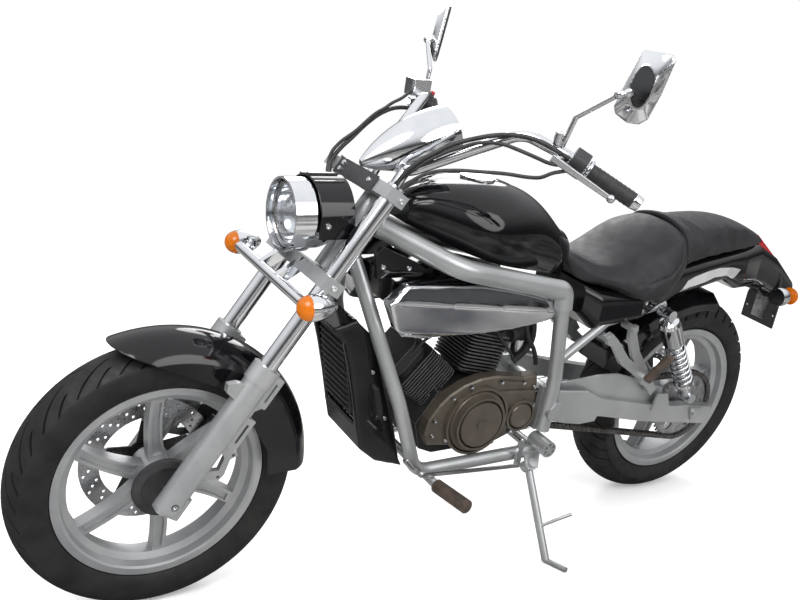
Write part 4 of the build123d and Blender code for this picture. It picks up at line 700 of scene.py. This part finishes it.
def swell(piece):
    """Fills a pad by pressure, each point moving no more than the cap."""
    start = [vertex.co.copy() for vertex in piece.data.vertices]
    cloth = piece.modifiers.new("swell", "CLOTH")
    cloth.settings.use_pressure = True
    cloth.settings.uniform_pressure_force = SEAT_PRESSURE
    cloth.settings.effector_weights.gravity = 0
    scene = bpy.context.scene
    for step in range(1, SWELL_FRAMES + 1):
        scene.frame_set(step)
    bake(piece)
    scene.frame_set(1)
    for vertex, rest in zip(piece.data.vertices, start):
        move = vertex.co - rest
        if move.length > SEAT_CAP:
            vertex.co = rest + move.normalized() * SEAT_CAP


def dent(gap, half, depth):
    """How deep the skin is pulled in at a gap from the middle of a seam."""
    return depth * max(0, 1 - (gap / half) ** 2)


def nearest_on(line, point):
    """Distance from a point to a line of points."""
    best = 1.0
    for near, far in zip(line, line[1:]):
        run = far - near
        share = max(0, min(1, (point - near).dot(run) / run.length_squared))
        best = min(best, (point - near - share * run).length)
    return best


def sew(piece, seams, pleats):
    """Pulls the skin in along seams, on both sides, and across pleats."""
    lines = []
    for seam in seams:
        for side in (1, -1):
            lines.append([Vector((x * side, y, z)) for x, y, z in seam])
    back = UPRIGHT.inverted()
    work = bmesh.new()
    work.from_mesh(piece.data)
    bmesh.ops.recalc_face_normals(work, faces=work.faces)
    work.normal_update()
    pulls = []
    for vertex in work.verts:
        spot = back @ vertex.co
        depth = 0.0
        for line in lines:
            depth = max(depth, dent(nearest_on(line, spot), SEAM_HALF, SEAM_DEPTH))
        if spot.z > PLEAT_LOW and abs(spot.x) < PLEAT_REACH:
            for pleat in pleats:
                gap = abs(spot.y - pleat - PLEAT_BOW * spot.x**2)
                depth = max(depth, dent(gap, PLEAT_HALF, PLEAT_DEPTH))
        pulls.append(vertex.normal * depth)
    for vertex, pull in zip(work.verts, pulls):
        vertex.co -= pull
    work.to_mesh(piece.data)
    work.free()


class MOTORCYCLE_OT_seats(bpy.types.Operator):
    """Leather saddle and pillion"""

    bl_idname = "motorcycle.seats"
    bl_label = "Seats"

    def execute(self, context):
        pad("saddle_pad", "saddle", [SADDLE_SEAM])
        pad("pillion_pad", "pillion_seat", [PILLION_SEAM], PILLION_PLEATS)
        return {"FINISHED"}


# ---------------------------------------------------------------- small fittings
# upper and lower edge of the silver band on the tail, from front to rear, as y and z at the left side
BAND_TOP = [(0.626, 0.733), (0.650, 0.743), (0.700, 0.756), (0.753, 0.762), (0.818, 0.758), (0.870, 0.747)]
BAND_LOW = [(0.606, 0.698), (0.640, 0.711), (0.690, 0.722), (0.740, 0.735), (0.790, 0.735), (0.836, 0.716)]
BAND_X, BAND_THICK = 0.125, 0.0006
CLAMP_FRONT, CLAMP_LOW, CLAMP_HIGH = 0.031, 0.771, 0.799
BAR_OUTER = [Vector((0.282, -0.051, 1.105)), Vector((0.394, 0.063, 1.036))]  # the left arm's last stretch
OUTSIDE = 0.3  # from the middle to where the lines that seek a bolt's seat start, clear of everything
BOLT_SINK = 0.0005  # how far a bolt's foot goes under the skin
# bolts of the panels: node, y and z in the upright frame, radius
SIDE_BOLTS = [
    ("radiator_cowl", -0.318, 0.549, 0.0055),
    ("radiator_cowl", -0.266, 0.422, 0.0055),
    ("airbox", -0.330, 0.803, 0.0065),
    ("airbox", -0.262, 0.797, 0.0065),
]
# bolts of the engine's side covers: y and z
COVER_BOLTS = [(-0.143, 0.372), (-0.142, 0.412), (-0.098, 0.468), (-0.050, 0.492), (0.040, 0.496),
               (0.112, 0.486), (0.152, 0.470), (0.160, 0.352), (0.100, 0.348), (0.040, 0.332),
               (-0.100, 0.352)]
PLATE_TAB_UP, PLATE_TAB_SIZE = 0.575, (0.048, 0.003, 0.078)
PLATE_TAB_BOLTS = ((-0.013, 0.022), (0.013, 0.022), (0.0, -0.024))  # across and up, from the tab's middle
STRAP_Y, STRAP_LOW, STRAP_HALF = 0.598, 0.800, 0.013
STRAP_BOW, STRAP_STEPS = 0.018, 24  # how far its top lies behind its ends
# section of the strap: share of its half width, and how proud of the seat
STRAP_SECTION = ((-1, -0.004), (-0.86, 0.0035), (0, 0.0052), (0.86, 0.0035), (1, -0.004))
skins = {}


def on_skin(node, piece, offset):
    """Lays a flat piece on a node's skin, at the nearest place."""
    target = node_copy("skin", node)
    wrap = piece.modifiers.new("on the skin", "SHRINKWRAP")
    wrap.target = target
    wrap.wrap_method = "NEAREST_SURFACEPOINT"
    wrap.wrap_mode = "ABOVE_SURFACE"
    wrap.offset = offset
    bake(piece)
    bpy.data.objects.remove(target)


def tail_band(side):
    """The silver band on one side of the tail."""
    work = bmesh.new()
    rows = []
    for edge in (BAND_TOP, BAND_LOW):
        spots = [work.verts.new(UPRIGHT @ Vector((BAND_X * side, y, z))) for y, z in edge]
        for near, far in zip(spots, spots[1:]):
            rows.append(work.edges.new((near, far)))
    bmesh.ops.bridge_loops(work, edges=rows)
    bmesh.ops.subdivide_edges(work, edges=work.edges[:], cuts=5, use_grid_fill=True)
    band = made("tail_band_left" if side > 0 else "tail_band_right", work)
    on_skin("tail_cowl", band, BAND_THICK)
    thick = band.modifiers.new("thick", "SOLIDIFY")
    thick.thickness = BAND_THICK
    thick.offset = 0
    bake(band)
    coat(band, band_silver)
    band.data.set_sharp_from_angle(angle=SHARP)
    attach(band, "frame")
    return band


def skin_hit(node, start, direction):
    """Where a line from a start, in the upright frame, meets a node's skin, and the normal there, or None."""
    if node not in skins:
        work = bmesh.new()
        work.from_mesh(frame["nodes"][node].data)
        skins[node] = BVHTree.FromBMesh(work)
        work.free()
    return skins[node].ray_cast(UPRIGHT @ Vector(start), UPRIGHT.to_3x3() @ Vector(direction))[:2]


def seat_on(node, start, direction):
    """Where a line from a start, in the upright frame, meets a node's skin, and the skin's outward normal."""
    hit, normal = skin_hit(node, start, direction)
    if hit is None:
        raise ValueError(f"nothing of {node} at {start}")
    if normal.dot(UPRIGHT.to_3x3() @ Vector(direction)) > 0:
        normal = -normal
    return hit, normal


def button(work, spot, axis, radius, height):
    """A button head with a round socket, standing on a spot of the row frame."""
    turn = axis.to_track_quat("Z", "Y").to_matrix().to_4x4()
    place = Matrix.Translation(spot) @ turn @ Matrix.Translation((0, 0, height / 2))
    head = bmesh.ops.create_cone(work, cap_ends=True, segments=24, radius1=radius, radius2=radius * 0.82,
                                 depth=height, matrix=place)
    faces = {face for vertex in head["verts"] for face in vertex.link_faces}
    top = max(faces, key=lambda face: face.calc_center_median().dot(axis))
    bmesh.ops.inset_region(work, faces=[top], thickness=radius * 0.4)
    bmesh.ops.inset_region(work, faces=[top], thickness=radius * 0.02, depth=-height * 0.6)


def bolt(work, seat, radius, height):
    """A button head on a seat of a node's skin."""
    spot, normal = seat
    button(work, spot - normal * BOLT_SINK, normal, radius, height)


def sleeve(work, start, end, radius, taper=1.0):
    """A closed round sleeve between two points of the upright frame."""
    run = Vector(end) - Vector(start)
    turn = run.to_track_quat("Z", "Y").to_matrix().to_4x4()
    place = UPRIGHT @ Matrix.Translation((Vector(start) + Vector(end)) / 2) @ turn
    tube = bmesh.ops.create_cone(work, cap_ends=True, segments=40, radius1=radius, radius2=radius * taper,
                                 depth=run.length, matrix=place)
    rims = {edge for vertex in tube["verts"] for edge in vertex.link_edges
            if any(len(face.verts) > 4 for face in edge.link_faces)}
    bmesh.ops.bevel(work, geom=list(rims), offset=min(0.002, run.length * 0.3), segments=3, profile=0.5,
                    affect="EDGES", material=-1)


def hose(name, body, points, radius, recipe):
    """A fixed hose through points of the upright frame."""
    curve = bpy.data.curves.new(name, "CURVE")
    curve.dimensions = "3D"
    curve.bevel_depth = radius
    curve.bevel_resolution = 5
    line = curve.splines.new("NURBS")
    line.points.add(len(points) - 1)
    for point, spot in zip(line.points, points):
        point.co = (*(UPRIGHT @ Vector(spot)), 1)
    line.order_u = 3
    line.use_endpoint_u = True
    line.resolution_u = 12
    curve.use_fill_caps = True
    curve.materials.append(finish_of(recipe))
    piece = in_scene(name, curve)
    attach(piece, body)
    return piece


def fork_place(x, ahead, up):
    """A point by the fork's own measures, in the upright frame."""
    along = UPRIGHT.to_3x3().transposed() @ steering_axis
    forward = Vector((0, -along.z, along.y))
    return Vector((x, -WHEELBASE / 2, FRONT_TYRE_R)) + forward * ahead + along * up


def on_grip(x):
    """A point of the handlebar's outer stretch at a distance from the middle."""
    inner, outer = BAR_OUTER
    point = inner.lerp(outer, (abs(x) - inner.x) / (outer.x - inner.x))
    return Vector((x, point.y, point.z))


class MOTORCYCLE_OT_fittings(bpy.types.Operator):
    """Bolts, grip caps, clamp panel, strap, plate tab and the tail's band"""

    bl_idname = "motorcycle.fittings"
    bl_label = "Small fittings"

    def execute(self, context):
        for side in (1, -1):
            tail_band(side)
        self.frame_bolts()
        self.steering_bolts()
        self.clamp_panel()
        self.bar_parts()
        self.strap()
        self.plate_holder()
        return {"FINISHED"}

    def plate_holder(self):
        """Bare metal tab in the middle of the plate's bracket, with two bolts."""
        work = bmesh.new()
        spot, normal = seat_on("plate_bracket", (0.0, 0.9, PLATE_TAB_UP), (0, 1, 0))
        turn = UPRIGHT.to_3x3()
        place = Matrix.Translation(spot + normal * 0.001) @ turn.to_4x4()
        slab(work, place @ Matrix.Diagonal((*PLATE_TAB_SIZE, 1)), 0.0008, 2)
        for x, z in PLATE_TAB_BOLTS:
            button(work, spot + normal * 0.002 + turn @ Vector((x, 0, z)), normal, 0.0045, 0.003)
        new_piece("plate_tab", work, "frame", steel)

    def frame_bolts(self):
        """Bolts of the panels and of the engine's covers."""
        work = bmesh.new()
        for node, y, z, radius in SIDE_BOLTS:
            for side in (1, -1):
                bolt(work, seat_on(node, (OUTSIDE * side, y, z), (-side, 0, 0)), radius, 0.004)
        for y, z in COVER_BOLTS:
            for side in (1, -1):
                seat = seat_on("engine_covers", (OUTSIDE * side, y, z), (-side, 0, 0))
                if seat[1].dot(across) * side > 0.5:  # only where the cover faces outwards
                    bolt(work, seat, 0.0052, 0.005)
        new_piece("panel_bolts", work, "frame", chrome)

    def steering_bolts(self):
        """Bolts of the headlight cowl, the clamps and the fork's feet."""
        work = bmesh.new()
        for side in (1, -1):
            x = OUTSIDE * side
            for node, start in (("headlight_cowl", (x, -0.478, 0.900)),
                                ("triple_clamps", fork_place(x, -0.006, 0.785)),
                                ("triple_clamps", fork_place(x, 0.004, 0.560)),
                                ("front_axle", fork_place(x, 0.0, 0.0))):
                bolt(work, seat_on(node, start, (-side, 0, 0)), 0.007, 0.005)
        forward = UPRIGHT.to_3x3() @ (fork_place(0, 1, 0) - fork_place(0, 0, 0))
        for x, up in ((-0.060, 0.792), (-0.060, 0.776), (0.062, 0.786)):
            button(work, UPRIGHT @ fork_place(x, CLAMP_FRONT + 0.004, up), forward, 0.0058, 0.0045)
        new_piece("steering_bolts", work, "steering", chrome)

    def clamp_panel(self):
        """Black panel on the front of the top clamp."""
        work = bmesh.new()
        middle = fork_place(0, CLAMP_FRONT + 0.0022, (CLAMP_LOW + CLAMP_HIGH) / 2 - 0.002)
        along = UPRIGHT.to_3x3().transposed() @ steering_axis
        turn = Matrix(((1, 0, 0), (0, -along.z, along.y), (0, along.y, along.z))).transposed().to_4x4()
        size = Matrix.Diagonal((0.168, 0.004, 0.040, 1))
        slab(work, UPRIGHT @ Matrix.Translation(middle) @ turn @ size, 0.0015, 3)
        new_piece("clamp_panel", work, "steering", matte_black)

    def bar_parts(self):
        """Collars, end caps and ribs of the grips, and the stop button."""
        caps, ribs, stop = bmesh.new(), bmesh.new(), bmesh.new()
        for side in (1, -1):
            sleeve(caps, on_grip(0.3115 * side), on_grip(0.3165 * side), 0.0218)
            sleeve(caps, on_grip(0.3845 * side), on_grip(0.3960 * side), 0.0176, 0.86)
            for rib in range(9):
                x = (0.324 + rib * 0.0066) * side
                sleeve(ribs, on_grip(x), on_grip(x + 0.0028 * side), 0.0177)
        new_piece("grip_caps", caps, "steering", chrome)
        new_piece("grip_ribs", ribs, "steering", soft_rubber)
        spot = on_grip(-0.302)
        sleeve(stop, spot + Vector((0, 0.012, 0.022)), spot + Vector((0, 0.016, 0.034)), 0.006)
        new_piece("stop_button", stop, "steering", red_plastic)

    def strap(self):
        """Leather strap over the seam between the saddle and the pillion."""
        work = bmesh.new()
        turn = UPRIGHT.to_3x3()
        rows = []
        for step in range(STRAP_STEPS + 1):
            angle = pi * step / STRAP_STEPS
            middle = Vector((0, STRAP_Y + STRAP_BOW * sin(angle) - 0.006, STRAP_LOW))
            start = middle + OUTSIDE * Vector((cos(angle), 0, max(0.0, sin(angle))))
            inward = (middle - start).normalized()
            hits = [skin_hit(node, start, inward)[0] for node in ("saddle", "pillion_seat")]
            hits = [hit for hit in hits if hit is not None]
            if not hits:
                continue
            seat = min(hits, key=lambda hit: (hit - UPRIGHT @ start).length)
            ring = [work.verts.new(seat - turn @ inward * proud + turn @ Vector((0, STRAP_HALF * share, 0)))
                    for share, proud in STRAP_SECTION]
            rows.append([work.edges.new(pair) for pair in zip(ring, ring[1:])])
        for near, far in zip(rows, rows[1:]):
            bmesh.ops.bridge_loops(work, edges=near + far)
        new_piece("seat_strap", work, "frame", leather)


# ---------------------------------------------------------------- rounded panels
def soften(name, node, body, recipe, voxel, rounds):
    """A node's form with its edges rounded, in place of the node."""
    piece = node_copy(name, node)
    voxel_grid(piece, voxel)
    ease(piece, rounds)
    bake(piece)
    coat(piece, recipe)
    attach(piece, body)
    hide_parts(node)
    return piece


class MOTORCYCLE_OT_panels(bpy.types.Operator):
    """Moulded panels and mirrors with rounded edges"""

    bl_idname = "motorcycle.panels"
    bl_label = "Rounded panels"

    def execute(self, context):
        soften("air_cover_shells", "air_covers", "frame", chrome, 0.003, 14)
        soften("mirror_shells", "mirrors", "steering", chrome, 0.0018, 5)
        soften("radiator_shroud", "radiator_cowl", "frame", gloss_black, 0.003, 5)
        return {"FINISHED"}


# ---------------------------------------------------------------- plumbing
CARB_X, CARB_Y, CARB_Z = (-0.030, 0.032), 0.146, 0.588
# fixed hoses: name, radius and points in the upright frame
HOSES = [
    ("breather_hose", 0.009,
     [(0.062, 0.150, 0.640), (0.066, 0.165, 0.590), (0.060, 0.150, 0.540), (0.055, 0.120, 0.515)]),
    ("drain_hose", 0.006,
     [(0.074, 0.118, 0.640), (0.080, 0.130, 0.590), (0.072, 0.175, 0.545), (0.066, 0.190, 0.505)]),
    ("front_lead", 0.0038,
     [(0.050, -0.196, 0.560), (0.062, -0.180, 0.600), (0.066, -0.140, 0.622), (0.060, -0.100, 0.645)]),
    ("rear_lead", 0.0038,
     [(0.060, 0.020, 0.640), (0.078, 0.040, 0.600), (0.082, 0.080, 0.560), (0.076, 0.110, 0.520)]),
]


class MOTORCYCLE_OT_plumbing(bpy.types.Operator):
    """Intake, hoses and leads round the cylinders"""

    bl_idname = "motorcycle.plumbing"
    bl_label = "Hoses"

    def execute(self, context):
        for name, radius, points in HOSES:
            hose(name, "frame", points, radius, soft_rubber)
        self.carburettor()
        return {"FINISHED"}

    def carburettor(self):
        """Twin-choke carburettor behind the rear cylinder: throats, bell and float bowls."""
        body = bmesh.new()
        bowls = bmesh.new()
        for x in CARB_X:
            sleeve(body, (x, CARB_Y - 0.036, CARB_Z - 0.006), (x, CARB_Y + 0.030, CARB_Z + 0.006), 0.023)
            sleeve(body, (x, CARB_Y, CARB_Z + 0.004), (x, CARB_Y, CARB_Z + 0.042), 0.026, 0.92)
            sleeve(bowls, (x, CARB_Y, CARB_Z - 0.064), (x, CARB_Y, CARB_Z - 0.018), 0.022, 1.06)
            sleeve(bowls, (x, CARB_Y, CARB_Z - 0.074), (x, CARB_Y, CARB_Z - 0.062), 0.007)
        new_piece("carburettor_body", body, "frame", matte_black)
        new_piece("carburettor_bowls", bowls, "frame", polished_alloy)


# ---------------------------------------------------------------- stage
CAMERA_AT = Vector((1.66236, -1.32223, 1.43032))  # in the upright motorcycle's frame
CAMERA_LOOK = Vector((-0.77993523, 0.51878573, -0.35008914))
CAMERA_UP = Vector((-0.37468452, 0.06101313, 0.92514264))
CAMERA_LENS = 40.64  # millimetres, on a 36 mm wide sensor
FLOOR_WHITE, FLOOR_GLOW = (0.93, 0.93, 0.93), 0.24
FLOOR_PATCHES = [(0.40, (0.08, 0.08, 0.085)), (0.62, (0.52, 0.51, 0.49))]  # what polish sees of it
DAYLIGHT = 0.85
# height of the sky from the horizon up to overhead, and its grey there
SKY_SEEN_BY_POLISH = [(0.0, 0.10), (0.05, 0.05), (0.16, 0.16), (0.30, 0.50), (0.52, 0.90), (0.8, 1.0)]
# soft lights: name, place, size, power share
LIGHTS = [
    ("key", (1.6, -2.2, 3.2), 2.4, 1.0),
    ("fill", (3.4, 0.8, 2.2), 2.6, 0.55),
    ("back", (-2.6, 1.6, 2.8), 2.2, 0.7),
]
LIGHTS_AIM = Vector((0, 0, 0.5))


class MOTORCYCLE_OT_stage(bpy.types.Operator):
    """Pale floor, soft light and camera"""

    bl_idname = "motorcycle.stage"
    bl_label = "Stage"

    def execute(self, context):
        scene = context.scene
        scene.view_settings.view_transform = "Standard"
        self.floor()
        self.world(scene)
        for name, spot, size, share in LIGHTS:
            light = bpy.data.lights.new(name, "AREA")
            light.shape = "DISK"
            light.size = size
            light.energy = sizes().key_power * share
            lamp = in_scene(name, light)
            lamp.location = spot
            lamp.rotation_euler = (LIGHTS_AIM - Vector(spot)).to_track_quat("-Z", "Y").to_euler()
        self.camera(scene)
        return {"FINISHED"}

    def floor(self):
        """A wide floor that keeps the object's shadow and looks white; polish sees it dark, as pavement."""
        work = bmesh.new()
        bmesh.ops.create_grid(work, x_segments=2, y_segments=2, size=30)
        floor = made("floor", work)
        finish = Finish("floor", FLOOR_WHITE, roughness=0.9)
        rays = finish.nodes.new("ShaderNodeLightPath")
        patches = finish.nodes.new("ShaderNodeValToRGB")
        for spot, (position, colour) in zip(patches.color_ramp.elements, FLOOR_PATCHES):
            spot.position = position
            spot.color = (*colour, 1)
        finish.links.new(finish.noise(1.3, 3), patches.inputs["Fac"])
        finish.colour_by(FLOOR_WHITE, patches.outputs["Color"], rays.outputs["Is Glossy Ray"])
        finish.shader.inputs["Emission Color"].default_value = (1, 1, 1, 1)
        glow = finish.spread(rays.outputs["Is Camera Ray"], 0, 1, 0, FLOOR_GLOW)
        finish.links.new(glow, finish.shader.inputs["Emission Strength"])
        floor.data.materials.append(finish.material)

    def world(self, scene):
        """Even white light; polished pieces see a bright sky over a dark horizon."""
        world = bpy.data.worlds.new("studio")
        world.use_nodes = True
        nodes, links = world.node_tree.nodes, world.node_tree.links
        sky = nodes["Background"]
        place = nodes.new("ShaderNodeTexCoord").outputs["Generated"]
        split = nodes.new("ShaderNodeSeparateXYZ")
        links.new(place, split.inputs["Vector"])
        ramp = nodes.new("ShaderNodeValToRGB")
        ramp.color_ramp.elements.remove(ramp.color_ramp.elements[1])
        for position, grey in SKY_SEEN_BY_POLISH:
            spot = ramp.color_ramp.elements.new(position)
            spot.color = (grey, grey * 1.01, grey * 1.03, 1)
        links.new(split.outputs["Z"], ramp.inputs["Fac"])
        rays = nodes.new("ShaderNodeLightPath")
        seen = colour_mix(nodes, links, (DAYLIGHT,) * 3, ramp.outputs["Color"], rays.outputs["Is Glossy Ray"])
        seen = colour_mix(nodes, links, seen, (1, 1, 1), rays.outputs["Is Camera Ray"])
        links.new(seen, sky.inputs["Color"])
        scene.world = world

    def camera(self, scene):
        """Camera in front of the left side, at shoulder height."""
        camera = in_scene("camera", bpy.data.cameras.new("camera"))
        camera.data.lens = CAMERA_LENS
        camera.data.sensor_width = 36
        camera.data.clip_end = 100
        side = CAMERA_LOOK.cross(CAMERA_UP).normalized()
        turn = Matrix((side, CAMERA_UP, -CAMERA_LOOK)).transposed().to_4x4()
        camera.matrix_world = UPRIGHT @ Matrix.Translation(CAMERA_AT) @ turn
        scene.camera = camera


class MOTORCYCLE_PT_sidebar(bpy.types.Panel):
    """The motorcycle's pieces, colours and sizes"""

    bl_idname = "MOTORCYCLE_PT_sidebar"
    bl_label = "Motorcycle"
    bl_space_type = "VIEW_3D"
    bl_region_type = "UI"
    bl_category = "Motorcycle"

    def draw(self, context):
        for group in (context.scene.motorcycle_sizes, context.scene.motorcycle_colours):
            for name in group.bl_rna.properties.keys():
                if name not in ("rna_type", "name"):
                    self.layout.prop(group, name)
        for operator in OPERATORS:
            self.layout.operator(operator.bl_idname)


OPERATORS = (
    MOTORCYCLE_OT_finishes,
    MOTORCYCLE_OT_tyres,
    MOTORCYCLE_OT_seats,
    MOTORCYCLE_OT_panels,
    MOTORCYCLE_OT_fittings,
    MOTORCYCLE_OT_plumbing,
    MOTORCYCLE_OT_stage,
)
CLASSES = (MotorcycleSizes, MotorcycleColours, *OPERATORS, MOTORCYCLE_PT_sidebar)


def register():
    """Adds the operators, the panel and their settings."""
    for each in CLASSES:
        bpy.utils.register_class(each)
    bpy.types.Scene.motorcycle_sizes = bpy.props.PointerProperty(type=MotorcycleSizes)
    bpy.types.Scene.motorcycle_colours = bpy.props.PointerProperty(type=MotorcycleColours)


def unregister():
    """Takes them away again."""
    del bpy.types.Scene.motorcycle_colours
    del bpy.types.Scene.motorcycle_sizes
    for each in reversed(CLASSES):
        bpy.utils.unregister_class(each)


def main():
    """Makes every piece."""
    register()
    for operator in OPERATORS:
        group, name = operator.bl_idname.split(".")
        getattr(getattr(bpy.ops, group), name)()


if __name__ == "__main__":
    main()
